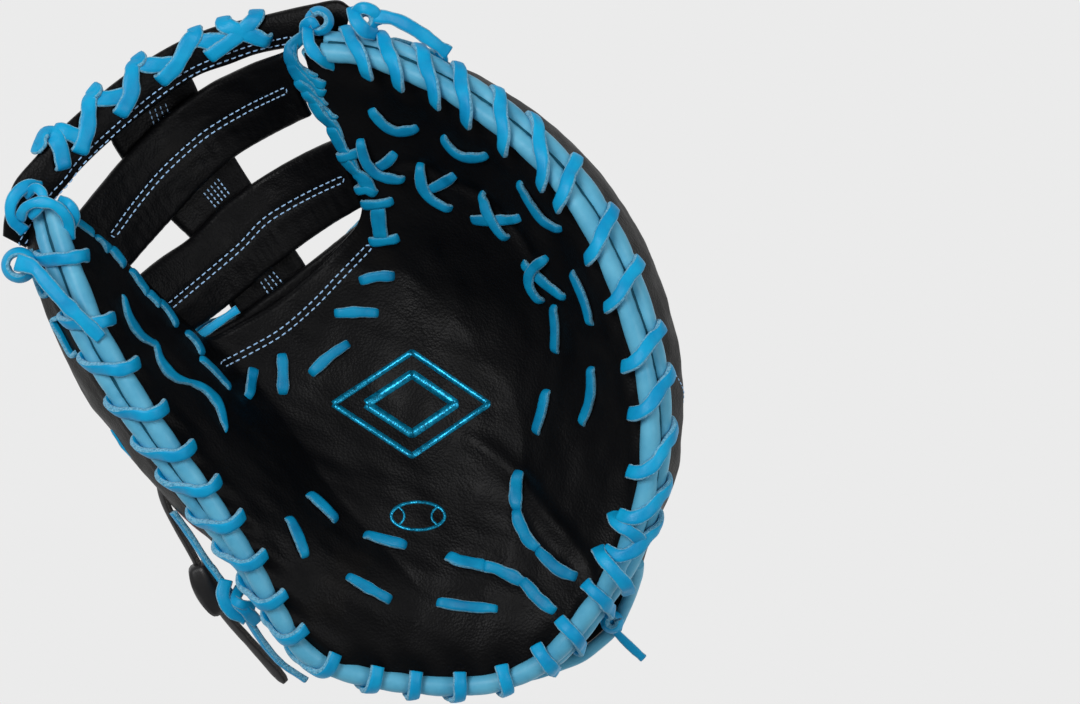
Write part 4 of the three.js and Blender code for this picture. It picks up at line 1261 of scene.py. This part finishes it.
# Laces in a row: the share cut off at each end, and width, lift and depth of the ends in mm
CHAIN_TRIM = 0.07
CHAIN_SEWN = (5.8, 1.5, 4.5)
PALM_CHAINS = [
    [(447, 556), (460, 563), (477, 565), (486, 567)], [(483, 566), (500, 570), (514, 577), (525, 583)],
    [(522, 580), (532, 591), (542, 602), (555, 611)], [(520, 471), (515, 489), (518, 510)],
    [(516, 510), (521, 526), (529, 540), (539, 549)], [(538, 549), (548, 561), (561, 571), (577, 577)],
]
ARC_TAPER = ([0, 0.15, 0.5, 0.85, 1], [0.1, 0.5, 1.0, 0.5, 0.1])
CHAIN_TAPER = ([0, 0.1, 0.3, 0.7, 0.9, 1], [0.3, 0.75, 1.0, 1.0, 0.75, 0.3])
THUMB_ARCS = [
    [(123, 298), (128, 317), (140, 336), (157, 346)], [(155, 343), (160, 361), (173, 377), (191, 384)],
    [(187, 382), (203, 389), (217, 404), (225, 429)],
]
# The laces along the palm's edge at the web, in pixels
WEB_EDGE_LACES = [
    [(70, 219), (80, 225), (92, 234)], [(97, 238), (103, 243), (108, 249)],
    [(112, 250), (117, 256), (123, 264)], [(132, 272), (138, 280), (146, 292)],
    [(149, 294), (154, 299), (158, 304)],
    [(160, 303), (168, 311), (175, 324)], [(188, 334), (195, 341), (201, 352)],
    [(202, 360), (214, 371), (228, 387)],
]
FINGER_EDGE_LACES = [
    [(303, 36), (290, 50), (296, 66), (314, 76)], [(294, 44), (292, 58), (302, 72), (322, 84)],
    [(292, 64), (301, 77), (322, 92)], [(299, 82), (309, 90), (324, 103)],
    [(306, 92), (318, 104), (333, 117)], [(313, 100), (322, 114), (336, 126)],
    [(322, 112), (332, 122), (340, 136)],
    [(332, 128), (338, 138), (344, 150)], [(342, 146), (349, 155), (356, 170)],
    [(345, 158), (352, 166), (364, 178)], [(356, 172), (364, 178), (372, 192)],
]
EDGE_TAPER = ([0, 0.25, 0.5, 0.75, 1], [0.6, 0.95, 1.05, 0.95, 0.6])
FINGER_EDGE_STITCHES = [
    [(364, 204), (377, 203), (390, 201)], [(372, 241), (383, 240), (396, 238)],
    [(376, 208), (377, 222), (379, 236)], [(381, 208), (382, 222), (384, 236)],
    [(340, 157), (352, 154), (362, 149)], [(358, 190), (366, 188), (374, 192)],
]
# How the laces round the palm are sewn: width, lift, how deep the ends go, and taper
EDGE_LACING = [
    (THUMB_ARCS, 6.4, 0.7, 2.0, ARC_TAPER), (WEB_EDGE_LACES, 5.0, 0.4, 3.5, EDGE_TAPER),
    (FINGER_EDGE_LACES, 6.2, 0.8, 3.0, EDGE_TAPER), (FINGER_EDGE_STITCHES, 4.8, 1.0, 4.0, STITCH_TAPER),
]
# The seam along the palm's edge at the web, beside the lowest bar
PALM_BAR_SEAM = [(224, 364), (247, 352), (280, 333), (312, 306), (340, 277), (368, 248)]


def palm_lacing():
    laces = Bundle()
    for path in PALM_STITCHES:
        stitch_down(laces, palm_sheet, path)
    for under, over in PALM_CROSSES:
        stitch_down(laces, palm_sheet, under, lift=CROSS_UNDER)
        stitch_down(laces, palm_sheet, over, lift=CROSS_OVER)
    for path in PALM_CHAINS:
        stitch_down(laces, palm_sheet, trimmed(path, CHAIN_TRIM), *CHAIN_SEWN, CHAIN_TAPER)
    for paths, width, lift, sink, taper in EDGE_LACING:
        for path in paths:
            stitch_down(laces, palm_sheet, path, width, lift, sink, taper)
    # The palm's laces take the darker copies, which paint the pocket's shade
    laces.piece("palm_lacing", "blue_lace", [PALM_LACE_PAINTED_SHADE, PALM_LACE_EDGE_PAINTED_SHADE])
    threads = Bundle()
    stitch_loop(threads, palm_sheet, PALM_BAR_SEAM)
    threads.piece("palm_stitching", "blue_lace", [THREAD])


palm_lacing()


# The ornament on the palm: a plain rhombus and a plain ball, stamped in foil

FOIL_DIAMOND = [(333, 404), (412, 352), (489, 404), (412, 456), (333, 404)]
FOIL_INNER = [(366, 404), (412, 374), (456, 404), (412, 434), (366, 404)]
FOIL_BALL = (418, 516, 27, 14)  # middle, half width and half height
FOIL_LIFT = 0.25
FOIL_DEPTH = 0.3
# The ball's seams: half angle in radians, and middle and radius as shares of the ball's half width
SEAM_ARC, SEAM_MIDDLE, SEAM_RADIUS, SEAM_TALL = 0.9, 1.25, 0.75, 0.9
# Widths of the foil's lines, in pixels
DIAMOND_LINE, INNER_LINE, BALL_LINE, SEAM_LINE = 6.0, 9.0, 3.0, 2.2


def foil_line(bundle, pixels, wide):
    """A stamped line of foil along straight runs of pixels."""
    path = []
    for a, b in zip(pixels, pixels[1:]):
        path += [lerp(np.array(a, float), np.array(b, float), t) for t in np.linspace(0, 1, 24)]
    path = np.array(path)
    run = along_path(path)
    side = left_of(run)
    rows = []
    for offset, lift in ((-0.5, -FOIL_DEPTH), (-0.5, FOIL_LIFT), (0.5, FOIL_LIFT), (0.5, -FOIL_DEPTH)):
        seen = [palm_sheet.seen(*pixel) for pixel in path + side * wide * offset]
        rows.append([place + way * lift for place, way in seen])
    grid = np.array(rows).transpose(1, 0, 2)
    n = len(grid)
    faces = quads(n, 4, closed=True).tolist() + [[0, 1, 2, 3], [4 * n - 1, 4 * n - 2, 4 * n - 3, 4 * n - 4]]
    bundle.add(grid.reshape(-1, 3), faces)


def ornament():
    foil_piece = Bundle()
    foil_line(foil_piece, FOIL_DIAMOND, DIAMOND_LINE)
    foil_line(foil_piece, FOIL_INNER, INNER_LINE)
    x, y, wide, tall = FOIL_BALL
    turn = np.linspace(0, 2 * math.pi, 25)
    foil_line(foil_piece, list(zip(x + wide * np.cos(turn), y + tall * np.sin(turn))), BALL_LINE)
    for side in (-1, 1):
        arc = np.linspace(-SEAM_ARC, SEAM_ARC, 9)
        across = x + side * wide * (SEAM_MIDDLE - SEAM_RADIUS * np.cos(arc))
        foil_line(foil_piece, list(zip(across, y + tall * SEAM_TALL * np.sin(arc))), SEAM_LINE)
    foil_piece.piece("palm_ornament", "blue_lace", [FOIL])


ornament()


# Knots and tails

# Strands of the knots at the thumb's tip and the fingers' tip: pixels and heights, width, thickness
TIP_STRANDS = [
    ([(40, 186, 70), (26, 186, 76), (13, 199, 77), (11, 217, 75), (24, 231, 70)], 5.4, 3.0),
    ([(20, 218, 74), (26, 207, 80), (40, 202, 83), (56, 206, 83), (67, 218, 80), (70, 238, 73)], 5.0, 3.0),
    ([(26, 196, 74), (36, 188, 79), (43, 195, 81), (38, 208, 80), (30, 216, 76)], 4.4, LACE_THICK),
    ([(60, 200, 74), (70, 205, 80), (76, 216, 78), (72, 226, 72)], 4.6, LACE_THICK),
    ([(309, 22, 70), (308, 34, 79), (310, 46, 82), (318, 57, 81), (334, 66, 70)], 5.4, 3.0),
]
# Each knot's coil: x, y, height, radius in pixels, and the turn that it starts at
KNOT_COILS = [
    (19, 265, 76, 13, 0.0), (366, 20, 79, 8, 1.0), (612, 622, 38, 7, 0.5), (319, 21, 76, 10, 2.4),
]
COIL_TURNS = 1.45
COIL_RISE = 6
COIL_WIDTH = 5.2
THUMB_TAIL = [(17, 262, 82), (34, 268, 86), (48, 284, 88), (66, 304, 89), (84, 321, 88), (101, 338, 85)]
THUMB_TAIL_WIDTH = 6.6
THUMB_TAIL_TAPER = ([0, 0.15, 1], [1.3, 1, 0.95])
# Strands and the tail at the fingers' tip, with their widths in mm
FINGER_STRANDS = [
    ([(304, 32, 70), (306, 24, 77), (312, 21, 79), (316, 27, 78)], 4.6),
    ([(353, 8, 80), (356, 20, 84), (364, 30, 84), (375, 34, 78)], 6.4),
    ([(352, 18, 78), (362, 8, 84), (374, 12, 84), (378, 24, 80)], 5.6),
    ([(374, 16, 82), (394, 19, 85), (414, 29, 86), (433, 42, 84), (448, 53, 80)], 6.0),
    ([(438, 50, 76), (442, 56, 74), (444, 64, 70)], 4.4),
]
# Laces that leave the mitt's edge, in the same way
LOOSE_STRANDS = [
    ([(226, 580, 33), (223, 596, 35), (231, 611, 34), (246, 618, 30)], 6.2),
    ([(240, 588, 29), (236, 600, 35), (245, 610, 35), (257, 622, 28)], 5.6),
    ([(228, 594, 30), (240, 604, 37), (254, 606, 32)], 4.6),
    ([(604, 616, 34), (618, 634, 30), (632, 648, 26), (643, 658, 22)], 3.8),
    ([(600, 604, 36), (606, 622, 38), (622, 626, 36)], 5.0),
]
# Laces that stand on their edge, so that the camera sees how thin they are
EDGE_ON_STRANDS = [
    [(173, 512, 37), (189, 534, 34), (206, 560, 32), (230, 592, 30)],
    [(244, 612, 28), (260, 638, 22), (280, 662, 18), (306, 680, 14)],
]
EDGE_ON = (-0.86, -0.3, 0.3)
EDGE_ON_SIZE = (5.0, 2.6)
THIN_WIDTH = 4.0
THIN_STRANDS = [
    [(114, 428, 40), (124, 444, 38), (142, 462, 40)],
    [(189, 343, 18), (212, 327, 16), (238, 309, 16)],
]
# Heights of the places where the two rim laces meet, at the ends, on the roll and between
MEETING_HEIGHTS = (72, 80, 83)
MEETING_START = (-4, -9)  # from a lace's first and last pixel to where it goes under the others
MEETING_END = (3, 8)


def knots():
    bundle = Bundle()
    for rows, width, thick in TIP_STRANDS:
        strand(bundle, rows, width, thick)
    for row in KNOT_COILS:
        coil(bundle, *row)
    strand(bundle, THUMB_TAIL, THUMB_TAIL_WIDTH, taper=THUMB_TAIL_TAPER)
    for rows, width in FINGER_STRANDS:
        strand(bundle, rows, width)
    low, high, top = MEETING_HEIGHTS
    for a, b, c, d in LONGWAYS:
        start = (a + MEETING_START[0], b + MEETING_START[1], low)
        end = (c + MEETING_END[0], d + MEETING_END[1], low)
        strand(bundle, [start, (a, b, high), ((a + c) / 2, (b + d) / 2, top), (c, d, high), end])
    for rows, width in LOOSE_STRANDS:
        strand(bundle, rows, width)
    for rows in EDGE_ON_STRANDS:
        strand(bundle, rows, *EDGE_ON_SIZE, EDGE_ON)
    for rows in THIN_STRANDS:
        strand(bundle, rows, THIN_WIDTH)
    bundle.piece("lace_knots", "blue_lace", [BLUE, BLUE_RAW])


knots()


# The back: one closed shell with the hand opening cut out of it

BACK_COLUMNS = 190
BACK_ROWS = 150
PLUG_REACH = (15.0, -3.0)  # how far the hand opening is cut, inside and outside the outer face
HAND_OPENING = {"u": 0.52, "v": 0.395, "half_u": 0.15, "half_v": 0.1}
BACK_TUCK = 0.016  # the share of the back that lies under the rolls
WRIST_EDGE = 0.004  # the share along the mitt where the back begins
BACK_EASE = 0.4
BACK_WAVES = [(0.35, 40, 71), (0.15, 13, 72)]  # height and length in mm, and seed


def back_surface():
    j, i = share_grid(BACK_ROWS, BACK_COLUMNS)
    v = lerp(WRIST_EDGE, web_opening(i), j)
    u = lerp(BACK_TUCK, 1 - BACK_TUCK, eased(i, BACK_EASE))
    outer = in_back(u, v, 0.0)
    inner = in_back(u, v, BACK_WALL)
    flat = outer.reshape(-1, 3)
    bumps = sum(height * sines(flat, length, seed) for height, length, seed in BACK_WAVES)
    outward = unit(outer - inner)
    free = smoothstep(outer[..., 2], 0.5, 4.0)
    outer = outer + outward * (bumps.reshape(u.shape) * free)[..., None]
    outer[..., 2] = np.maximum(outer[..., 2], THREAD_DEPTH)
    return outer, inner


def on_hand_opening(turn, size=1.0):
    """Shares across and along on the hand opening's edge, at a share of the way round it."""
    a = 2 * math.pi * turn
    pointed = 1 - 0.12 * np.sin(a) ** 2
    u = HAND_OPENING["u"] + size * HAND_OPENING["half_u"] * pointed * np.cos(a)
    return u, HAND_OPENING["v"] + size * HAND_OPENING["half_v"] * np.sin(a)


def cut_out(target, cutter_points, cutter_faces):
    """Cuts a closed form out of a piece."""
    mesh = bpy.data.meshes.new("cutter")
    mesh.from_pydata(((cutter_points - ORIGIN) * MM).tolist(), [], cutter_faces)
    cutter = add_object("cutter", mesh)
    modifier = target.modifiers.new("opening", "BOOLEAN")
    modifier.object = cutter
    modifier.operation = "DIFFERENCE"
    modifier.solver = "EXACT"
    graph = bpy.context.evaluated_depsgraph_get()
    made = bpy.data.meshes.new_from_object(target.evaluated_get(graph))
    target.modifiers.clear()
    target.data = made
    bpy.data.objects.remove(cutter)


def back():
    outer, inner = back_surface()
    points, faces = shell(inner, outer)
    nodes = ["back_finger_panel", "back_thumb_panel", "wrist_strap"]
    made = piece("back_leather", points, faces, [BLACK_BACK], nodes)
    turns = 64
    u, v = on_hand_opening(np.linspace(0, 1, turns, endpoint=False))
    rings = []
    for inside in PLUG_REACH:
        p = middle(u, v) + out_of_palm(u, v) * (ROLL_PITCH / 2 - thickness(u, v) + inside)[..., None]
        p[..., 2] -= FLOOR_DROP
        rings.append(p + swelling(u, v))
    sides = quads(2, turns, closed=True)[:, ::-1].tolist()
    ends = [list(range(turns)), list(range(2 * turns - 1, turns - 1, -1))]
    cut_out(made, np.vstack(rings), sides + ends)


back()


# Bound edges of the back

BINDING_AWAY = 0.5  # between a bound edge and the cut leather, in mm


def bound_edge(name, node, places):
    """A light blue bound edge along one of the back's cut edges: its path and its outward ways."""
    u, v, inside_u, inside_v = places(np.linspace(0, 1, 200))
    edge = in_back(u, v, np.full(u.shape, BACK_WALL / 2))
    inside = in_back(inside_u, inside_v, np.full(u.shape, BACK_WALL / 2))
    along = along_path(edge)
    out = edge - inside
    out = unit(out - along * np.sum(out * along, axis=1, keepdims=True))
    path = edge + out * (BINDING_RADIUS + BINDING_AWAY)
    path[:, 2] = np.maximum(path[:, 2], BINDING_RADIUS)
    path = path + out * (0.2 * sines(path, 24, 91))[:, None]
    path[:, 2] = np.maximum(path[:, 2], BINDING_RADIUS)
    points, faces = sweep(circle(16, BINDING_RADIUS), path, straight_up(len(path)))
    piece(name, points, faces, [ROLL], [node])
    return path, out


def web_binding_places(share):
    u = lerp(BACK_TUCK, 1 - BACK_TUCK, lerp(0.03, 0.91, share))
    return u, web_opening(u), u, web_opening(u) - 0.02


def strap_binding_places(share):
    u = lerp(0.14, 0.88, share)
    return u, np.full(u.shape, WRIST_EDGE), u, np.full(u.shape, 0.03)


def hand_binding_places(share):
    u, v = on_hand_opening(share)
    a, b = on_hand_opening(share, 1.15)
    return u, v, a, b


web_bound, web_bound_out = bound_edge("web_opening_bound_edge", "web_opening_binding", web_binding_places)
bound_edge("hand_opening_bound_edge", "hand_opening_binding", hand_binding_places)
bound_edge("wrist_bound_edge", "wrist_strap_binding", strap_binding_places)


WRAP_PITCH = 15.0
WRAP_ANGLE = 2.7  # how far round the edge a wrap goes to each side, in radians
WRAP_LEAN = 3.5
WRAP_TUCK = 5
WRAP_SIZE = (5.8, 2.0)  # width and thickness


def binding_wraps():
    """The lace that runs round the web opening's bound edge."""
    laces = Bundle()
    way = Way(np.hstack([web_bound, web_bound_out]))
    count = int(way.length / WRAP_PITCH)
    angles = np.linspace(-WRAP_ANGLE, WRAP_ANGLE, 13)[:, None]
    for share in np.arange(1, count) / count:
        row = way(share)
        ahead = unit(way(share + 0.01)[:3] - way(share - 0.01)[:3])
        out = unit(row[3:])
        ring = out * np.cos(angles) + np.cross(ahead, out) * np.sin(angles)
        run = ahead * np.linspace(-WRAP_LEAN, WRAP_LEAN, 13)[:, None]
        points = row[:3] + ring * (BINDING_RADIUS + 1.3) + run
        points = np.vstack([points[0] - out * WRAP_TUCK, points, points[-1] - out * WRAP_TUCK])
        points[:, 2] = np.maximum(points[:, 2], 1.2)
        lace(laces, points, np.vstack([ring[0], ring, ring[-1]]), *WRAP_SIZE)
    laces.piece("web_opening_lacing", "blue_lace", [BLUE, BLUE_RAW])


binding_wraps()


# Patches, pull strap and bead

# A patch: the shares across and along of its middle, and its half sizes in shares
WRIST_LABEL = (0.49, 0.14, 0.12, 0.08)
THUMB_LABEL = (0.19, 0.38, 0.036, 0.062)
PATCH_RISE = 1.1  # how far a patch stands out of the back, and how far it is let in
PATCH_DEPTH = 1.2
# Colours of a patch by shares of its half size: where its edge begins, and stripes as middle and half
OVAL_EDGE = 0.84
LABEL_EDGE = 0.93
WHITE_STRIPE = (0.62, 0.07)
BLACK_STRIPE = (0.46, 0.05)
# The pull strap: x, y, z in the frame of the tables
PULL_STRAP = [
    [-99, -7, 37], [-102, -16, 31], [-103, -30, 25], [-103, -46, 20], [-104, -60, 16], [-103, -74, 12],
    [-99, -92, 8], [-94, -113, 6],
]
STRAP_FACE = [-0.75, 0, 0.66]  # the way that the strap's flat side looks
STRAP_SIZE = (6.5, 2.4)
STRAP_TAPER = ([0, 0.3, 0.45, 0.6, 0.94, 0.98, 1], [0.75, 0.5, 0.6, 0.9, 1, 0.85, 0.35])
# The knot on the strap: between two shares of its length, with five flutes
KNOT_SPAN = (0.4, 0.62)
KNOT_STEPS = 24
KNOT_SIDES = 20
KNOT_RADIUS = 3.6
KNOT_SWELL = 3.4
KNOT_FLUTE = 0.09


def patch_on_back(name, node, spot, oval):
    """A sewn patch: red, with a white edge, and as a label also with stripes."""
    u0, v0, half_u, half_v = spot
    spread = np.linspace(-1, 1, 40)
    j, i = np.meshgrid(spread, spread, indexing="ij")
    a, b = i, j
    if oval:
        a, b = i * np.sqrt(1 - j * j / 2), j * np.sqrt(1 - i * i / 2)
    u, v = u0 + half_u * a, v0 + half_v * b
    outer = in_back(u, v, np.full(u.shape, -PATCH_RISE))
    outer[..., 2] = np.maximum(outer[..., 2], 0.0)
    inner = in_back(u, v, np.full(u.shape, PATCH_DEPTH))
    points, faces = shell(inner, outer)
    size = np.sqrt(a * a + b * b) if oval else np.maximum(np.abs(i), np.abs(j))
    edge = (size[1:, 1:] + size[:-1, :-1]) / 2
    height = np.abs(j[1:, 1:] + j[:-1, :-1]) / 2
    looks = np.zeros(edge.shape, int)
    if not oval:
        for look, (place, half) in enumerate((WHITE_STRIPE, BLACK_STRIPE), 1):
            looks[np.abs(height - place) < half] = look
    looks[edge > (OVAL_EDGE if oval else LABEL_EDGE)] = 1
    face = looks.ravel().tolist()
    looks = face + face + [0] * (len(faces) - 2 * len(face))
    piece(name, points, faces, [RED, WHITE_THREAD, BLACK_THREAD], [node], looks)


patch_on_back("wrist_patch", "wrist_label", WRIST_LABEL, False)
patch_on_back("thumb_patch", "thumb_label", THUMB_LABEL, True)


def pull_strap():
    points = np.array(PULL_STRAP, float)
    strap = Bundle()
    lace(strap, points, np.tile(STRAP_FACE, (len(points), 1)), *STRAP_SIZE, STRAP_TAPER)
    strap.piece("pull_strap_leather", "black_lace", [BLACK_LACE, BLACK_RAW], ["pull_strap"])
    path = Way(spline(points, count=120))(np.linspace(*KNOT_SPAN, KNOT_STEPS))
    turn = np.linspace(0, 2 * math.pi, KNOT_SIDES, endpoint=False)
    round_off = np.sqrt(np.clip(1 - np.linspace(-1, 1, KNOT_STEPS) ** 2, 0, 1))
    size = (KNOT_RADIUS + KNOT_SWELL * round_off)[:, None]
    uneven = (1 + 0.5 * np.sin(np.linspace(0, 9, KNOT_STEPS)))[:, None]
    flutes = 1 + KNOT_FLUTE * np.cos(turn * 5)[None] * uneven
    section = circle(KNOT_SIDES)[None] * (size * flutes)[..., None]
    points, faces = sweep(section, path, straight_up(KNOT_STEPS))
    piece("pull_strap_knot", points, faces, [BLACK_LACE], ["pull_strap_bead"])


pull_strap()


# Stitching and lacing of the back, by shares across and along the mitt

def on_back(path, lift, spacing=3.0):
    """A path of shares laid on the back's outer face: its places and the ways out of it."""
    way = Way(spline(path, count=120))
    rough = in_back(*way(np.linspace(0, 1, 60)).T, np.zeros(60))
    count = max(int(Way(rough).length / spacing), 4)
    u, v = way(np.linspace(0, 1, count)).T
    face = in_back(u, v, np.zeros(count))
    out = unit(face - in_back(u, v, np.full(count, BACK_WALL)))
    points = face + out * lift
    points[:, 2] = np.maximum(points[:, 2], 0.2)
    return points, out


def u_shape(across, deep):
    """A path round the web opening, from the finger side to the thumb side."""
    turn = np.linspace(0.12, 0.9, 40) * math.pi
    return list(zip(0.5 + across * np.cos(turn), 0.97 - deep * np.sin(turn)))


BINDING_SEAM = 1.09  # the seam round the hand opening, as a multiple of its size
WEB_SEAMS = ((0.375, 0.43), (0.362, 0.415))  # the seams round the web opening: half width, depth
BACK_SEAMS = [
    [(0.85, 0.73), (0.8, 0.68), (0.74, 0.6), (0.68, 0.54), (0.62, 0.51)],
    [(0.35, 0.42), (0.32, 0.34), (0.315, 0.26), (0.33, 0.18), (0.36, 0.1)],
    [(0.42, 0.53), (0.44, 0.505), (0.45, 0.5)],
    [(0.68, 0.3), (0.76, 0.26), (0.84, 0.24), (0.92, 0.24)],
]
BACK_STITCHES = [
    [(0.93, 0.8), (0.925, 0.84), (0.92, 0.88)], [(0.9, 0.91), (0.88, 0.925), (0.86, 0.94)],
    [(0.845, 0.93), (0.83, 0.935), (0.81, 0.94)], [(0.06, 0.82), (0.065, 0.86), (0.07, 0.9)],
    [(0.055, 0.7), (0.06, 0.74), (0.062, 0.77)],
]
BACK_LACE_WIDTH, BACK_SINK = 5.6, 4
# Laces inside the hand opening, on the lining
LINING_LACE_WIDTH, LINING_SINK = 5.0, 3
LINING_STITCHES = [
    [(0.42, 0.4), (0.44, 0.39), (0.46, 0.385)], [(0.5, 0.375), (0.525, 0.37), (0.55, 0.37)],
    [(0.59, 0.375), (0.605, 0.38), (0.62, 0.385)],
]


def on_lining(path):
    """A path of shares laid on the lining inside the hand opening."""
    u, v = np.array(path).T
    face = in_mitt(u, v, padding(u, v))
    out = unit(in_mitt(u, v, padding(u, v) + 2) - face)
    return face + out * 1.2, out


def sewn(points, ways, depth):
    """A path whose two ends go on into the leather."""
    return np.vstack([points[0] - ways[0] * depth, points, points[-1] - ways[-1] * depth])


def back_work():
    threads = Bundle()
    round_opening = [on_hand_opening(turn, BINDING_SEAM) for turn in np.linspace(0, 0.99, 60)]
    for path in [round_opening, *(u_shape(*seam) for seam in WEB_SEAMS), *BACK_SEAMS]:
        dashes(threads, *on_back(path, 0.0))
    threads.piece("back_stitching", "blue_lace", [THREAD])
    laces = Bundle()
    for path in BACK_STITCHES:
        points, ways = on_back(path, 1.2, 5.0)
        points = sewn(points, ways, BACK_SINK)
        first, last = unit(points[1] - points[2]), unit(points[-2] - points[-3])
        lace(laces, points, np.vstack([first, ways, last]), BACK_LACE_WIDTH)
    for path in LINING_STITCHES:
        points, ways = on_lining(path)
        points = sewn(points, ways, LINING_SINK)
        lace(laces, points, np.vstack([ways[0], ways, ways[-1]]), LINING_LACE_WIDTH)
    laces.piece("back_lacing", "blue_lace", [BLUE, BLUE_RAW])


back_work()


def under_web(s, t, drop):
    """A place behind the web's sheet, and the way down from it."""
    s, t = arrays(s, t)
    across = in_web(s + 0.03, t) - in_web(s - 0.03, t)
    along = in_web(s, t + 0.03) - in_web(s, t - 0.03)
    out = unit(np.cross(across, along))
    points = in_web(s, t) - out * np.asarray(drop)[..., None]
    return points, -out


# Laces behind the web: rows of share across, share up, and distance behind its sheet
WEB_LACES = [
    [(0.04, 0.34, 5), (0.15, 0.335, 10), (0.28, 0.33, 12), (0.42, 0.325, 13), (0.58, 0.33, 12),
     (0.8, 0.32, 8), (0.95, 0.31, 5)],
    [(0.06, 0.1, 5), (0.18, 0.075, 9), (0.3, 0.05, 11), (0.44, 0.04, 12), (0.6, 0.03, 11), (0.8, 0.03, 8),
     (0.94, 0.04, 5)],
    [(0.36, 0.5, 8), (0.37, 0.51, 10.6), (0.43, 0.6, 11), (0.5, 0.68, 10.6), (0.51, 0.69, 8)],
    [(0.52, 0.5, 8), (0.51, 0.51, 11.6), (0.45, 0.6, 12.5), (0.39, 0.7, 11.6), (0.38, 0.71, 8)],
    [(0.47, 0.82, 8), (0.465, 0.83, 10.4), (0.44, 0.86, 10.8), (0.42, 0.89, 10.4), (0.415, 0.9, 8)],
]
WEB_KNOTS = [(0.44, 0.33, 14), (0.37, 0.045, 13)]
WEB_KNOT_RADIUS = 4.2
WEB_KNOT_SIZE = (5.0, 2.0)
OVER_TABLE = 1.6  # how high the middle of such a lace lies at least


def web_lacing():
    laces = Bundle()
    for rows in WEB_LACES:
        s, t, drop = (np.array(column) for column in zip(*rows))
        points, ways = under_web(s, t, drop)
        points[:, 2] = np.maximum(points[:, 2], OVER_TABLE)
        lace(laces, points, ways, *WRAP_SIZE)
    for s, t, drop in WEB_KNOTS:
        place, way = under_web(np.array([s]), np.array([t]), np.array([drop]))
        ring = ring_about(way[0], [0.9, 0.4, 0], np.linspace(0, 2 * math.pi * 1.2, 16))
        points = place[0] + ring * WEB_KNOT_RADIUS + way[0] * np.linspace(-1, 1.6, 16)[:, None]
        points[:, 2] = np.maximum(points[:, 2], OVER_TABLE)
        lace(laces, points, ring + way[0] * 0.7, *WEB_KNOT_SIZE)
    laces.piece("web_lacing", "blue_lace", [BLUE, BLUE_RAW])


web_lacing()


# Floor, light and camera

FLOOR_HALF = 3.0
FLOOR_GREY = 0.831
LIT_PLACE = (0, 0, 0.04)
# Soft lights: name, place in metres, size, power
LIGHTS = [
    ("overhead_softbox", (-0.5, 0.9, 1.6), 1.0, 24),
    ("fill_softbox", (0.9, -0.4, 1.3), 0.9, 7),
]
WORLD_STRENGTH = 0.28


def stage():
    mesh = bpy.data.meshes.new("floor")
    signs = [(-1, -1), (1, -1), (1, 1), (-1, 1)]
    mesh.from_pydata([(x * FLOOR_HALF, y * FLOOR_HALF, 0) for x, y in signs], [], [(0, 1, 2, 3)])
    floor = add_object("floor", mesh)
    material, _, shader = new_material("pale_floor", 0.9, 0.0)
    shader.inputs["Base Color"].default_value = (0, 0, 0, 1)
    shader.inputs["Emission Color"].default_value = (FLOOR_GREY, FLOOR_GREY, FLOOR_GREY, 1)
    shader.inputs["Emission Strength"].default_value = 1.0
    mesh.materials.append(material)


def soft_light(name, place, size, power):
    data = bpy.data.lights.new(name, "AREA")
    data.shape = "DISK"
    data.size = size
    data.energy = power
    lamp = add_object(name, data)
    lamp.location = place
    lamp.rotation_euler = (Vector(LIT_PLACE) - Vector(place)).to_track_quat("-Z", "Y").to_euler()


def world_light():
    world = bpy.data.worlds.new("studio")
    world.use_nodes = True
    background = world.node_tree.nodes["Background"]
    background.inputs["Color"].default_value = (1, 1, 1, 1)
    background.inputs["Strength"].default_value = WORLD_STRENGTH
    bpy.context.scene.world = world


def photo_camera():
    data = bpy.data.cameras.new("photo_camera")
    data.sensor_width = 36
    data.lens = data.sensor_width * EYE_HEIGHT / (PHOTO_WIDTH * MM_PER_PIXEL)
    data.clip_end = 20
    camera = add_object("photo_camera", data)
    camera.location = (EYE - ORIGIN) * MM
    camera.rotation_euler = (0, 0, -TURN)
    bpy.context.scene.camera = camera


stage()
world_light()
for light in LIGHTS:
    soft_light(*light)
photo_camera()
bpy.context.scene.view_settings.view_transform = "Standard"
